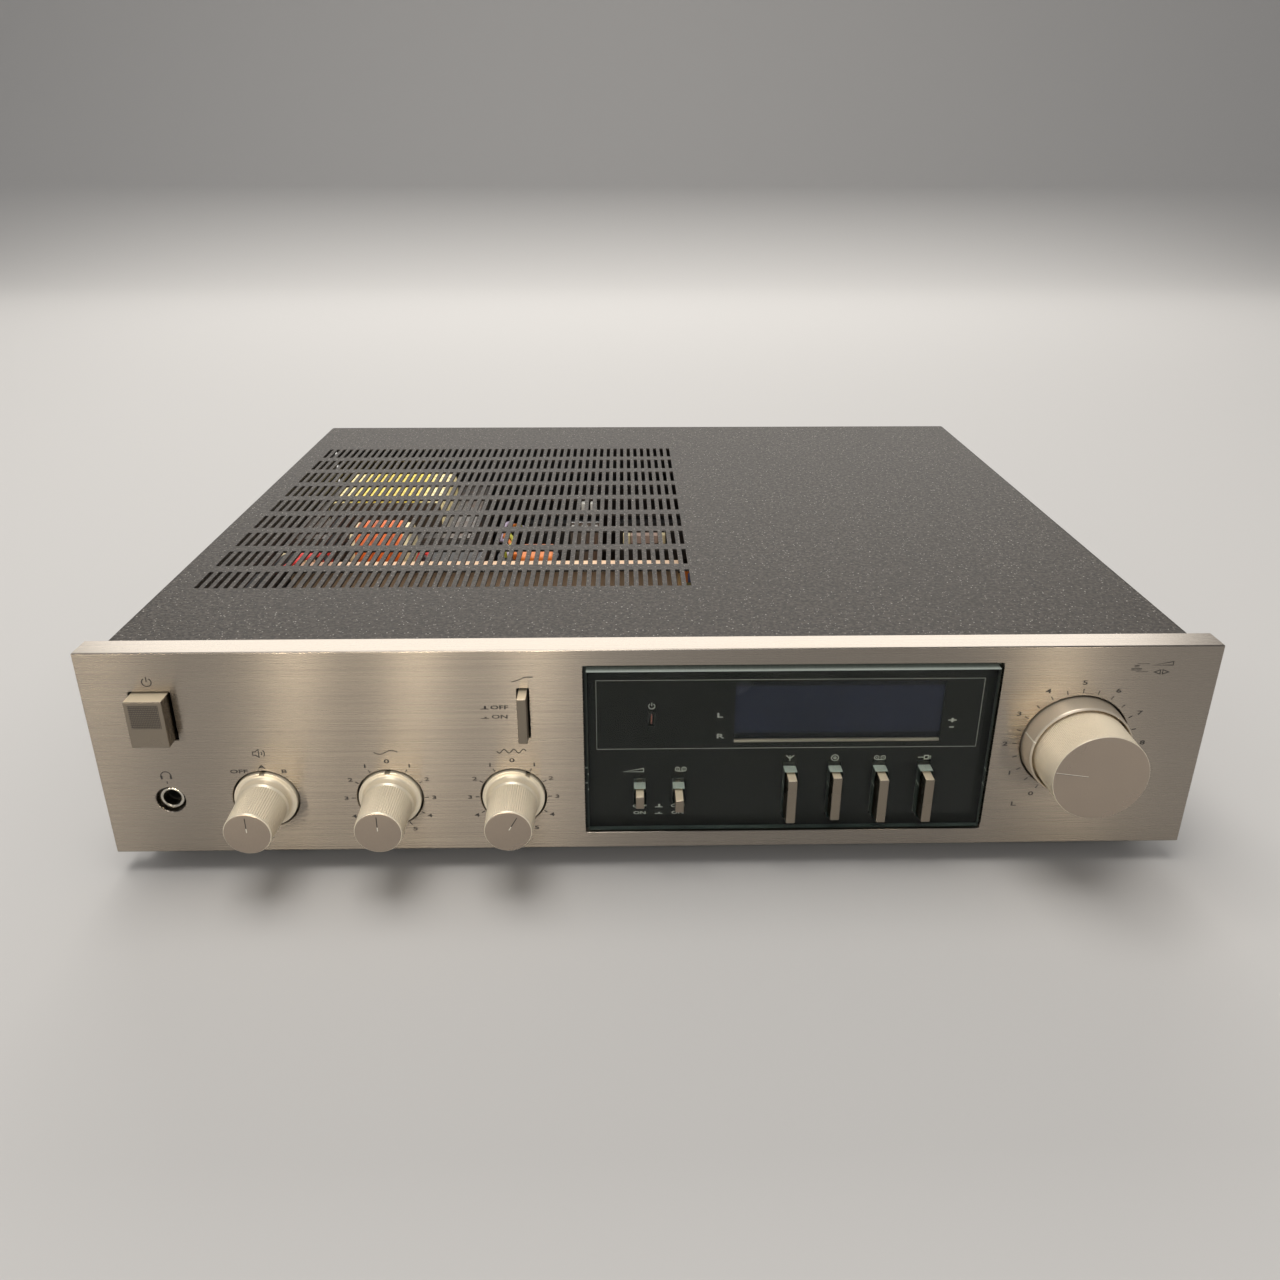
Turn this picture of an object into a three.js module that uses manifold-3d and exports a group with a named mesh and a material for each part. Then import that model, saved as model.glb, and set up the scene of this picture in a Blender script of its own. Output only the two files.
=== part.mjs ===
// Integrated stereo amplifier, built as its separate pieces.
// Millimetres, +Z up. The front panel faces -Y and +X is to the right seen from the front.
// The origin is on the table under the centre of the whole amplifier.

import * as THREE from 'three';
import { mergeGeometries, mergeVertices } from 'three/addons/utils/BufferGeometryUtils.js';
import Module from 'manifold-3d';

const wasm = await Module();
wasm.setup();

// Clearances
const seatGap = 0.3;
const bushClearance = 0.3;

// How far a cutter passes the faces it opens, and how far a joined bar reaches into its body
const overrun = 1;
const rootLap = 1;

// Front panel, an aluminium channel with a top and a bottom lip
const panelWidth = 420;
const panelHeight = 88;
const panelDepth = 9.7;
const panelPlate = 3;
const panelLip = 3.5;
const panelEdge = 0.6;
const panelClearance = 10;

// Top cover, folded steel sheet
const coverInset = 5.6;
const coverDrop = 1.5;
const coverLift = 1;
const coverLength = 303;
const coverSheet = 1;
const coverBend = 2.5;
const coverBendSteps = 4;

// Cooling slots in the cover
const slotRows = 9;
const slotsPerRow = 52;
const slotPitch = 4.04;
const slotRowPitch = 23.3;
const slotWidth = 2;
const slotLength = 17;
const slotFieldLeft = 14;
const slotFieldFront = 49.2;

// Bottom tray, sub-panel and rear panel, folded steel sheet
const chassisSheet = 1.2;
const traySideHeight = 26;
const pillarHeight = 7;
const pillarRadius = 3;
const pillarInset = 5;
const rearPanelInset = 1;

// Feet
const footRadius = 19;
const footTaper = 1.5;
const footRecessRadius = 6;
const footRecessDepth = 5;
const footSideInset = 42;
const footFrontInset = 30;
const footRearInset = 42;

// Cover screws
const screwHeadRadius = 4;
const screwTopRadius = 3;
const screwHeadHeight = 2.2;
const screwHeadSide = 1.3;
const screwShankRadius = 1.9;
const screwShankLength = 6;
const screwSlotWidth = 1;
const screwSlotDepth = 1;
const screwHeight = 12;
const screwFrontInset = 38;
const screwRearInset = 30;

// The two rows of controls, from the panel's bottom and top edges
const lowerRowInset = 24.5;
const upperRowInset = 26.4;

// Display window, from its left edge to a gap beside the volume knob's axis
const windowLeft = -26.1;
const windowFromTreble = 27.6;
const windowFromVolume = 31.3;
const windowBottomInset = 7.2;
const windowTopInset = 6.7;
const windowSideGap = 1.1;
const windowEdgeGap = 1.7;
const windowProud = 1;
const windowFlange = 3;
const windowFlangeLap = 2.4;
const maskSheet = 1;

// Display tube and its board, placed from the window's sides and top
const displayLeftInset = 57;
const displayRightInset = 19.2;
const displayTopInset = 9.3;
const displayHeight = 26.4;
const tubeMargin = 4;
const tubeDepth = 8;
const displayBoardMargin = 7;
const boardSheet = 1.6;

// Power indicator, a narrow bar placed from the window's top left corner
const indicatorLeftInset = 25.5;
const indicatorTopInset = 25.2;
const indicatorWidth = 1.6;
const indicatorHeight = 5.4;

// Push buttons in the window
const selectorNames = ['tuner_button', 'phono_button', 'tape_button', 'aux_button'];
const selectorLeftInset = 79;
const selectorRightInset = 23.95;
const selectorWidth = 3.6;
const selectorHeight = 19.3;
const selectorReach = 5.6;
const selectorLatch = 1.6;
const modeLeftInset = 21;
const modePitch = 15;
const modeWidth = 3.3;
const modeHeight = 5.4;
const modeReach = 7.5;
const modeLatch = 2.5;
const buttonEdge = 0.4;
const windowSlotSideGap = 0.65;
const windowSlotEndGap = 2.4;
const buttonTail = 6.3;
const stemHeight = 4;
const stemWidth = 2.2;
const stemLength = 20;
const switchBodyDepth = 28;
const switchBodyMargin = 7;
const switchBodyHeight = 14;

// Low-cut filter button, left of the window
const filterFromWindow = 22.3;
const filterWidth = 3.5;
const filterHeight = 19;
const filterReach = 6;
const filterSlotGap = 0.5;
const filterSlotEndGap = 1.1;

// Power button, above the headphone socket
const powerInset = 25.1;
const powerWidth = 13.9;
const powerHeight = 19.4;
const powerReach = 6;
const powerGap = 0.65;
const powerTail = 4;
const powerStem = 6;
const powerSwitchDepth = 34;
const powerSwitchMargin = 6;

// Rotary controls in the lower row, evenly spaced from the first one to the window
const knobInset = 61.5;
const knobReach = 20.8;
const knobFaceRadius = 8.8;
const knobBodyRadius = 9.4;
const knobCollarRadius = 9.9;
const knobCollarReach = 4.2;
const knobFlangeRadius = 12;
const knobFlangeReach = 0.9;
const knobRecessGap = 0.7;
const knobTail = 2;
const knobEdge = 0.4;
const knobNotchWidth = 1.9;
const knobNotchDepth = 1.1;
const trebleRest = 30;

// Volume control and the balance ring around it
const volumeInset = 49.5;
const volumeRise = 2.5;
const volumeReach = 22.7;
const volumeFaceRadius = 17.5;
const volumeBaseRadius = 17.9;
const volumeRest = -81.5;
const ringOuterRadius = 20;
const ringFrontRadius = 19.5;
const ringBoreRadius = 18.7;
const ringReach = 7.2;
const ringBevel = 0.7;
const ringRecessGap = 0.7;
const ringWeb = 2;
const ringHubRadius = 8;
const ringHubLength = 5;
const ringHubGap = 1;
const ringSetback = 0.5;
const ringRest = -75;
const pointerWidth = 0.8;
const pointerDepth = 0.3;
const pointerInnerRadius = 4.8;

// Shafts and the bodies of the rotary controls
const shaftRadius = 3;
const sleeveWall = 1.4;
const knobBoreEnd = 5;
const bushRadius = 5.5;
const bushWall = 1.8;
const bushLength = 6.2;
const controlRadius = 12;
const controlDepth = 18;
const speakerSwitchRadius = 15;
const volumeControlRadius = 15;
const volumeControlDepth = 32;

// Sides of the round pieces
const knobSteps = 30;
const footSteps = 20;
const controlSteps = 16;
const shaftSteps = 12;
const smallSteps = 10;
const pillarSteps = 8;
const hexSides = 6;

// Headphone socket
const socketBoreRadius = 3.25;
const socketRingRadius = 4.6;
const socketRecessRadius = 5.6;
const socketSetback = 1.2;
const socketDepth = 32;
const socketBodyWidth = 15;
const socketBodyHeight = 17;
const socketEndWall = 3;

// Cross plate, welded to the tray between the controls and the boards
const crossPlateY = -25.6;
const crossPlateHeight = 67.5;
const crossPlateFlange = 10;
const crossPlateLeftInset = 27.6;
const crossPlateRight = 16;

// Mains transformer, its core lying flat on four pillars
const transformerSideGap = 11.6;
const transformerY = 68;
const coreLimb = 16;
const coreTongue = 32;
const coreWindow = 16;
const coreWindowLength = 56;
const coreStack = 40;
const corePillarHeight = 20.5;
const corePillarRadius = 4;
const windingRise = 15;
const windingGap = 0.5;

// Wiring loom from the transformer, over the cross plate, to the power switch
const loomRadius = 2.6;
const loomStartOffset = 23;
const loomStartDrop = 8;
const loomCoreLead = 4;
const loomSwitchLead = 9;
const loomSag = 14;
const loomPlateGap = 1.5;
const loomForward = 25;
const loomRun = 30;
const loomSides = 6;
const loomSteps = 24;

// Filter capacitors
const capacitorInset = 84;
const capacitorPitch = 38;
const capacitorFrontInset = 21;
const capacitorRadius = 16;
const capacitorHeight = 52;

// Heat sink and the output modules on it
const sinkFromTransformer = 18;
const sinkFromRear = 60.5;
const sinkWidth = 112;
const sinkBase = 5;
const sinkHeight = 62;
const finLength = 26;
const finThickness = 2;
const finCount = 12;
const moduleWidth = 46;
const moduleHeight = 24;
const moduleDepth = 7;
const moduleLift = 18;
const modulePitch = 56;

// Circuit boards
const boardRearGap = 9;
const boardNotchGap = 2;
const mainBoardSideGap = 19.6;
const mainBoardFromSink = 22;
const mainBoardNeckGap = 4;
const mainBoardTailGap = 32;
const preampFront = -62;
const preampFromMainBoard = 8;
const preampSideGap = 5.6;

// Speaker relay, a coil between two cheeks on top of its contact block
const relayOffset = 6;
const relayGap = 1.5;
const relayCoilRadius = 13.5;
const relayCoilLength = 20;
const relayCheekRadius = 12.4;
const relayCheekLength = 5;
const relayAxisHeight = 53;
const relayBlockWidth = 22;
const relayBlockDepth = 16;

// Rear connectors
const jackReach = 10;
const jackColumns = 7;
const jackPitch = 17.5;
const jackRowPitch = 22;
const jackSideInset = 20.6;
const jackLowerZ = 40;
const jackRadius = 4.1;
const jackBoreRadius = 1.7;
const jackBoreDepth = 8;
const jackHousingDepth = 14;
const jackHousingMargin = 8;
const jackSides = 6;
const terminalFromGround = 78;
const terminalZ = 50;
const terminalWidth = 96;
const terminalHeight = 30;
const terminalDepth = 7;
const terminalBase = 3.5;
const terminalTail = 8;
const terminalRib = 1.6;
const terminalCount = 8;
const terminalScrewRadius = 3.2;
const terminalScrewHeight = 2.5;
const groundFromJacks = 24;
const groundZ = 62;
const groundRadius = 2;
const groundNutRadius = 4.6;
const groundNutReach = 7;
const groundTip = 1.5;
const groundTail = 6;
const groundInnerNut = 2;
const glandSideInset = 25.6;
const glandZ = 42;
const glandBoreRadius = 4.2;
const glandRadius = 7.5;
const glandNeckRadius = 6;
const glandReach = 5;
const glandShoulder = 3;
const glandTaper = 1;

// Places worked out from the sizes
const overallDepth = volumeReach + panelDepth + coverLength + jackReach;
const panelFaceY = -overallDepth / 2 + volumeReach;
const panelBackY = panelFaceY + panelDepth;
const plateBackY = panelFaceY + panelPlate;
const panelBottomZ = panelClearance;
const panelTopZ = panelBottomZ + panelHeight;
const coverRearY = panelBackY + coverLength;
const coverTopZ = panelTopZ - coverDrop;
const coverHalf = panelWidth / 2 - coverInset;
const coverBottomZ = panelBottomZ + coverLift;
const trayFloorZ = coverBottomZ;
const trayTopZ = trayFloorZ + chassisSheet;
const trayHalf = coverHalf - coverSheet - seatGap;
const innerHalf = trayHalf - chassisSheet - seatGap;
const innerTopZ = coverTopZ - coverSheet - seatGap;
const subFrontY = panelBackY + seatGap;
const subBackY = subFrontY + chassisSheet;
const switchFrontY = subBackY + seatGap;
const boardZ = trayTopZ + pillarHeight + seatGap;
const boardTopZ = boardZ + boardSheet;
const rearPanelOuterY = coverRearY - rearPanelInset;
const rearPanelInnerY = rearPanelOuterY - chassisSheet;
const lowerZ = panelBottomZ + lowerRowInset;
const upperZ = panelTopZ - upperRowInset;
const powerX = -panelWidth / 2 + powerInset;
const speakersX = -panelWidth / 2 + knobInset;
const trebleX = windowLeft - windowFromTreble;
const bassX = (speakersX + trebleX) / 2;
const volumeX = panelWidth / 2 - volumeInset;
const volumeZ = (panelBottomZ + panelTopZ) / 2 + volumeRise;
const windowRight = volumeX - windowFromVolume;
const windowBottomZ = panelBottomZ + windowBottomInset;
const windowTopZ = panelTopZ - windowTopInset;
const filterX = windowLeft - filterFromWindow;
const selectorLeft = windowLeft + selectorLeftInset;
const selectorPitch = (windowRight - selectorRightInset - selectorLeft) / (selectorNames.length - 1);
const selectorX = selectorNames.map((_, index) => selectorLeft + index * selectorPitch);
const modeX = [windowLeft + modeLeftInset, windowLeft + modeLeftInset + modePitch];
const indicatorX = windowLeft + indicatorLeftInset;
const indicatorZ = windowTopZ - indicatorTopInset;
const glassFrontY = panelFaceY - windowProud;
const flangeFrontY = plateBackY + seatGap;
const glassBackY = flangeFrontY + windowFlange;
const maskFrontY = glassBackY + seatGap;
const maskBackY = maskFrontY + maskSheet;
const tubeFrontY = maskBackY + seatGap;
const tubeBackY = tubeFrontY + tubeDepth;
const displayBoardY = tubeBackY + seatGap;
const shaftBore = shaftRadius + bushClearance;
const sleeveRadius = shaftBore + sleeveWall;
const volumeBushRadius = sleeveRadius + bushClearance + bushWall;
const crossPlateTopZ = trayTopZ + crossPlateHeight;
const mainBoardLeft = -innerHalf + mainBoardSideGap;
const mainBoardFront = crossPlateY + chassisSheet + boardNotchGap;
const preampRight = innerHalf - preampSideGap;
const boardRear = rearPanelInnerY - boardRearGap;
const coreWidth = 2 * coreLimb + 2 * coreWindow + coreTongue;
const coreDepth = coreWindowLength + 2 * coreLimb;
const transformerX = -innerHalf + transformerSideGap + coreWidth / 2;
const transformerRight = transformerX + coreWidth / 2;
const transformerFront = transformerY - coreDepth / 2;
const mainBoardNeck = transformerRight + mainBoardNeckGap;
const mainBoardShoulder = transformerFront - boardNotchGap;
const mainBoardTail = transformerRight + mainBoardTailGap;
const sinkLeft = transformerRight + sinkFromTransformer;
const sinkRight = sinkLeft + sinkWidth;
const sinkY = rearPanelInnerY - sinkFromRear;
const mainBoardRight = sinkRight + mainBoardFromSink;
const preampLeft = mainBoardRight + preampFromMainBoard;
const jackFirstX = innerHalf - jackSideInset - (jackColumns - 1) * jackPitch;
const groundX = jackFirstX - groundFromJacks;
const terminalX = groundX - terminalFromGround;
const glandX = -innerHalf + glandSideInset;

// Solid helpers

// Shared corners are merged and empty triangles at a lathe's axis dropped.
function toSolid(geometry) {
  const bare = geometry.clone();
  bare.deleteAttribute('normal');
  bare.deleteAttribute('uv');
  const merged = mergeVertices(bare, 1e-4);
  const corners = merged.index.array;
  const kept = [];
  for (let i = 0; i < corners.length; i += 3) {
    const [a, b, c] = [corners[i], corners[i + 1], corners[i + 2]];
    if (a !== b && b !== c && c !== a) kept.push(a, b, c);
  }
  const vertProperties = new Float32Array(merged.attributes.position.array);
  const triVerts = new Uint32Array(kept);
  return new wasm.Manifold(new wasm.Mesh({ numProp: 3, vertProperties, triVerts }));
}

function toGeometry(solid) {
  const mesh = solid.getMesh();
  const geometry = new THREE.BufferGeometry();
  geometry.setAttribute('position', new THREE.BufferAttribute(mesh.vertProperties, 3));
  geometry.setIndex(new THREE.BufferAttribute(mesh.triVerts, 1));
  geometry.computeVertexNormals();
  return geometry;
}

function join(first, ...others) {
  return others.reduce((whole, piece) => whole.add(piece), first);
}

function cut(first, ...others) {
  return others.reduce((whole, piece) => whole.subtract(piece), first);
}

function boxGeometry([x0, x1], [y0, y1], [z0, z1]) {
  const box = new THREE.BoxGeometry(x1 - x0, y1 - y0, z1 - z0);
  return box.translate((x0 + x1) / 2, (y0 + y1) / 2, (z0 + z1) / 2);
}

function block(xs, ys, zs) {
  return toSolid(boxGeometry(xs, ys, zs));
}

// A span of a given width around a middle
function about(middle, width) {
  return [middle - width / 2, middle + width / 2];
}

// A cutter's span, which passes both ends of the span it opens
function past([low, high]) {
  return [low - overrun, high + overrun];
}

// A round bar along Y
function barY(x, z, radius, [y0, y1], steps) {
  const bar = new THREE.CylinderGeometry(radius, radius, y1 - y0, steps);
  return toSolid(bar.translate(x, (y0 + y1) / 2, z));
}

// A round bar along X
function barX(y, z, radius, [x0, x1], steps) {
  const bar = new THREE.CylinderGeometry(radius, radius, x1 - x0, steps).rotateZ(Math.PI / 2);
  return toSolid(bar.translate((x0 + x1) / 2, y, z));
}

// A round bar along Z
function barZ(x, y, radius, [z0, z1], steps) {
  const bar = new THREE.CylinderGeometry(radius, radius, z1 - z0, steps).rotateX(Math.PI / 2);
  return toSolid(bar.translate(x, y, (z0 + z1) / 2));
}

// A turned piece around the Y axis from [radius, y] points, in order of rising y
function turned(points, steps) {
  const profile = points.map(([radius, y]) => new THREE.Vector2(radius, y));
  return toSolid(new THREE.LatheGeometry(profile, steps));
}

// An outline of [x, z] points drawn along Y from y0 to y1
function extrudedY(points, [y0, y1]) {
  const shape = new THREE.Shape(points.map(([x, z]) => new THREE.Vector2(x, z)));
  const bar = new THREE.ExtrudeGeometry(shape, { depth: y1 - y0, bevelEnabled: false });
  return toSolid(bar.rotateX(Math.PI / 2).translate(0, y1, 0));
}

// An outline of [y, z] points drawn along X, centred
function extrudedX(points, width) {
  const shape = new THREE.Shape(points.map(([y, z]) => new THREE.Vector2(y, z)));
  const bar = new THREE.ExtrudeGeometry(shape, { depth: width, bevelEnabled: false });
  return toSolid(bar.translate(0, 0, -width / 2).rotateZ(Math.PI / 2).rotateY(Math.PI / 2));
}

// An outline of [x, y] points raised along Z from z0 to z1
function extrudedZ(points, [z0, z1]) {
  const shape = new THREE.Shape(points.map(([x, y]) => new THREE.Vector2(x, y)));
  const bar = new THREE.ExtrudeGeometry(shape, { depth: z1 - z0, bevelEnabled: false });
  return toSolid(bar.translate(0, 0, z0));
}

// Finishes

function finish(color, roughness, metalness) {
  return new THREE.MeshStandardMaterial({ color, roughness, metalness });
}

const brushedAluminium = finish(0xc9bda6, 0.35, 1);
const turnedAluminium = finish(0xd8ccb2, 0.25, 1);
const coverPaint = finish(0x57524c, 0.7, 0);
const zincSteel = finish(0xa8a79f, 0.45, 1);
const blackSteel = finish(0x161616, 0.6, 0);
const tintedAcrylic = finish(0x39443c, 0.05, 0);
const blackPlastic = finish(0x141414, 0.5, 0);
const displayGlass = finish(0x262a36, 0.1, 0);
const boardPaper = finish(0x8a6238, 0.6, 0);
const indicatorRed = finish(0x7a241c, 0.3, 0);
const platedBrass = finish(0xc9c3b4, 0.3, 1);
const laminatedSteel = finish(0x5a5852, 0.5, 1);
const yellowTape = finish(0xe2bd2c, 0.45, 0);
const blackAnodised = finish(0x191a1b, 0.5, 1);
const blackSleeve = finish(0x1d1f26, 0.4, 0);
const orangeTape = finish(0xc85a24, 0.45, 0);
const wireSleeve = finish(0xd9cfae, 0.5, 0);
const switchMetal = finish(0xb4ab93, 0.4, 1);

// The assembly

const amplifier = new THREE.Group();

function addPart(name, solid, material, parent = amplifier) {
  const mesh = new THREE.Mesh(toGeometry(solid), material);
  mesh.name = name;
  parent.add(mesh);
  return mesh;
}

// Front panel

const windowSpanX = [windowLeft, windowRight];
const windowSpanZ = [windowBottomZ, windowTopZ];
const throughPlate = past([panelFaceY, plateBackY]);

function makeFrontPanel() {
  const [front, back] = [panelFaceY, panelBackY];
  const plate = plateBackY;
  const [bottom, top] = [panelBottomZ, panelTopZ];
  const channel = extrudedX([
    [front, bottom + panelEdge], [front + panelEdge, bottom], [back, bottom],
    [back, bottom + panelLip], [plate, bottom + panelLip],
    [plate, top - panelLip], [back, top - panelLip],
    [back, top], [front + panelEdge, top], [front, top - panelEdge],
  ], panelWidth);
  const knobHole = knobFlangeRadius + knobRecessGap;
  const ringHole = ringOuterRadius + ringRecessGap;
  const filterSlotHeight = filterHeight + 2 * filterSlotEndGap;
  return cut(
    channel,
    block(windowSpanX, throughPlate, windowSpanZ),
    barY(speakersX, lowerZ, knobHole, throughPlate, knobSteps),
    barY(bassX, lowerZ, knobHole, throughPlate, knobSteps),
    barY(trebleX, lowerZ, knobHole, throughPlate, knobSteps),
    barY(volumeX, volumeZ, ringHole, throughPlate, knobSteps),
    barY(powerX, lowerZ, socketRecessRadius, throughPlate, controlSteps),
    block(about(powerX, powerWidth + 2 * powerGap), throughPlate, about(upperZ, powerHeight + 2 * powerGap)),
    block(about(filterX, filterWidth + 2 * filterSlotGap), throughPlate, about(upperZ, filterSlotHeight)),
  );
}

addPart('front_panel', makeFrontPanel(), brushedAluminium);

// Display window, its mask, the display and the power indicator

const selectorSlotX = selectorWidth + 2 * windowSlotSideGap;
const selectorSlotZ = selectorHeight + 2 * windowSlotEndGap;
const modeSlotX = modeWidth + 2 * windowSlotSideGap;
const modeSlotZ = modeHeight + 2 * windowSlotEndGap;

// The slots that the window's buttons pass through, as one cutter per button
function windowSlots(ys) {
  const selectorZs = about(lowerZ, selectorSlotZ);
  const modeZs = about(lowerZ, modeSlotZ);
  return [
    ...selectorX.map((x) => block(about(x, selectorSlotX), ys, selectorZs)),
    ...modeX.map((x) => block(about(x, modeSlotX), ys, modeZs)),
  ];
}

const flangeSpanX = [windowLeft - windowFlangeLap, windowRight + windowFlangeLap];
const flangeSpanZ = [windowSpanZ[0] - windowFlangeLap, windowSpanZ[1] + windowFlangeLap];

function makeWindowGlass() {
  const pane = block(
    [windowLeft + windowSideGap, windowRight - windowSideGap],
    [glassFrontY, glassBackY],
    [windowSpanZ[0] + windowEdgeGap, windowSpanZ[1] - windowEdgeGap],
  );
  const flange = block(flangeSpanX, [flangeFrontY, glassBackY], flangeSpanZ);
  return cut(join(pane, flange), ...windowSlots(past([glassFrontY, glassBackY])));
}

const displayRight = windowRight - displayRightInset;
const displayTop = windowTopZ - displayTopInset;
const displaySpanX = [windowLeft + displayLeftInset, displayRight];
const displaySpanZ = [displayTop - displayHeight, displayTop];

function makeWindowMask() {
  const through = past([maskFrontY, maskBackY]);
  return cut(
    block(flangeSpanX, [maskFrontY, maskBackY], flangeSpanZ),
    block(displaySpanX, through, displaySpanZ),
    block(
      about(indicatorX, indicatorWidth + 2 * seatGap),
      through,
      about(indicatorZ, indicatorHeight + 2 * seatGap),
    ),
    ...windowSlots(through),
  );
}

const tubeSpanX = [displaySpanX[0] - tubeMargin, displaySpanX[1] + tubeMargin];
const tubeSpanZ = [displaySpanZ[0] - tubeMargin, displaySpanZ[1] + tubeMargin];
const displayBoardX = [tubeSpanX[0] - displayBoardMargin, tubeSpanX[1] + displayBoardMargin];
const displayBoardZ = [tubeSpanZ[0] - displayBoardMargin / 2, tubeSpanZ[1] + displayBoardMargin / 2];

addPart('window_glass', makeWindowGlass(), tintedAcrylic);
addPart('window_mask', makeWindowMask(), blackPlastic);
addPart('display_tube', block(tubeSpanX, [tubeFrontY, tubeBackY], tubeSpanZ), displayGlass);
addPart(
  'display_board',
  block(displayBoardX, [displayBoardY, displayBoardY + boardSheet], displayBoardZ),
  boardPaper,
);
addPart(
  'power_indicator',
  block(
    about(indicatorX, indicatorWidth),
    [maskFrontY, subFrontY - seatGap],
    about(indicatorZ, indicatorHeight),
  ),
  indicatorRed,
);

// Sub-panel, which carries the controls

const stemSize = [stemWidth, stemHeight];
const powerStemSize = [powerStem, powerStem];

// A square way through for a button's stem
function stemWay(x, z, [width, height], ys) {
  return block(about(x, width + 2 * bushClearance), ys, about(z, height + 2 * bushClearance));
}

function makeSubPanel() {
  const through = past([subFrontY, subBackY]);
  const sheet = block([-innerHalf, innerHalf], [subFrontY, subBackY], [trayTopZ + seatGap, innerTopZ]);
  const bushHole = bushRadius + bushClearance;
  const postX = [displayBoardX[0] + pillarRadius, displayBoardX[1] - pillarRadius];
  const postZ = [displayBoardZ[0] + pillarRadius, displayBoardZ[1] - pillarRadius];
  const posts = postX.flatMap((x) => postZ.map((z) => (
    barY(x, z, pillarRadius, [subBackY - chassisSheet / 2, displayBoardY - seatGap], pillarSteps)
  )));
  const drilled = cut(
    sheet,
    block(
      [tubeSpanX[0] - seatGap, tubeSpanX[1] + seatGap],
      through,
      [tubeSpanZ[0] - seatGap, tubeSpanZ[1] + seatGap],
    ),
    barY(speakersX, lowerZ, bushHole, through, controlSteps),
    barY(bassX, lowerZ, bushHole, through, controlSteps),
    barY(trebleX, lowerZ, bushHole, through, controlSteps),
    barY(volumeX, volumeZ, volumeBushRadius + bushClearance, through, controlSteps),
    barY(powerX, lowerZ, socketRingRadius + bushClearance, through, controlSteps),
    stemWay(powerX, upperZ, powerStemSize, through),
    stemWay(filterX, upperZ, stemSize, through),
    ...[...selectorX, ...modeX].map((x) => stemWay(x, lowerZ, stemSize, through)),
  );
  return join(drilled, ...posts);
}

addPart('sub_panel', makeSubPanel(), blackSteel);

// Bottom tray with the pillars that carry the boards, and the cross plate

const mainNotchFront = sinkY - moduleDepth - 2 * seatGap;
const mainNotchRear = sinkY + sinkBase + finLength + boardNotchGap;

const mainBoardOutline = [
  [mainBoardLeft, mainBoardFront], [mainBoardRight, mainBoardFront],
  [mainBoardRight, boardRear], [mainBoardTail, boardRear],
  [mainBoardTail, mainNotchRear], [sinkRight + boardNotchGap, mainNotchRear],
  [sinkRight + boardNotchGap, mainNotchFront], [mainBoardNeck, mainNotchFront],
  [mainBoardNeck, mainBoardShoulder], [mainBoardLeft, mainBoardShoulder],
];

const preampOutline = [
  [preampLeft, preampFront], [preampRight, preampFront],
  [preampRight, boardRear], [preampLeft, boardRear],
];

const pillarPlaces = [
  [mainBoardLeft + pillarInset, mainBoardFront + pillarInset],
  [mainBoardRight - pillarInset, mainBoardFront + pillarInset],
  [mainBoardLeft + pillarInset, mainBoardShoulder - pillarInset],
  [mainBoardNeck + pillarInset, mainNotchFront - pillarInset],
  [mainBoardRight - pillarInset, boardRear - pillarInset],
  [mainBoardTail + pillarInset, boardRear - pillarInset],
  [preampLeft + pillarInset, preampFront + pillarInset],
  [preampRight - pillarInset, preampFront + pillarInset],
  [preampLeft + pillarInset, boardRear - pillarInset],
  [preampRight - pillarInset, boardRear - pillarInset],
];

const screwZ = panelBottomZ + screwHeight;
const screwYs = [panelBackY + screwFrontInset, coverRearY - screwRearInset];

// A sheet on edge, its top and bottom flanges turned to the front
function makeCrossPlate() {
  const [face, back] = [crossPlateY, crossPlateY + chassisSheet];
  const lip = face - crossPlateFlange;
  const [bottom, top] = [trayTopZ - chassisSheet / 2, crossPlateTopZ];
  const [left, right] = [-innerHalf + crossPlateLeftInset, crossPlateRight];
  const plate = extrudedX([
    [lip, bottom], [back, bottom], [back, top], [lip, top], [lip, top - chassisSheet],
    [face, top - chassisSheet], [face, trayTopZ + chassisSheet], [lip, trayTopZ + chassisSheet],
  ], right - left);
  return plate.translate([(left + right) / 2, 0, 0]);
}

function makeTray() {
  const [front, rear] = [panelBackY + seatGap, rearPanelOuterY];
  const floor = block([-trayHalf, trayHalf], [front, rear], [trayFloorZ, trayTopZ]);
  const sides = [-1, 1].map((side) => {
    const middle = side * (trayHalf - chassisSheet / 2);
    return block(about(middle, chassisSheet), [front, rear], [trayFloorZ, trayFloorZ + traySideHeight]);
  });
  const pillars = pillarPlaces.map(([x, y]) => (
    barZ(x, y, pillarRadius, [trayTopZ - chassisSheet / 2, trayTopZ + pillarHeight], pillarSteps)
  ));
  const screwHoles = screwYs.map((y) => (
    barX(y, screwZ, screwShankRadius + bushClearance, past([-trayHalf, trayHalf]), smallSteps)
  ));
  return cut(join(floor, ...sides, ...pillars, makeCrossPlate()), ...screwHoles);
}

addPart('bottom_tray', makeTray(), zincSteel);

// Top cover with its field of cooling slots

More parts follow.
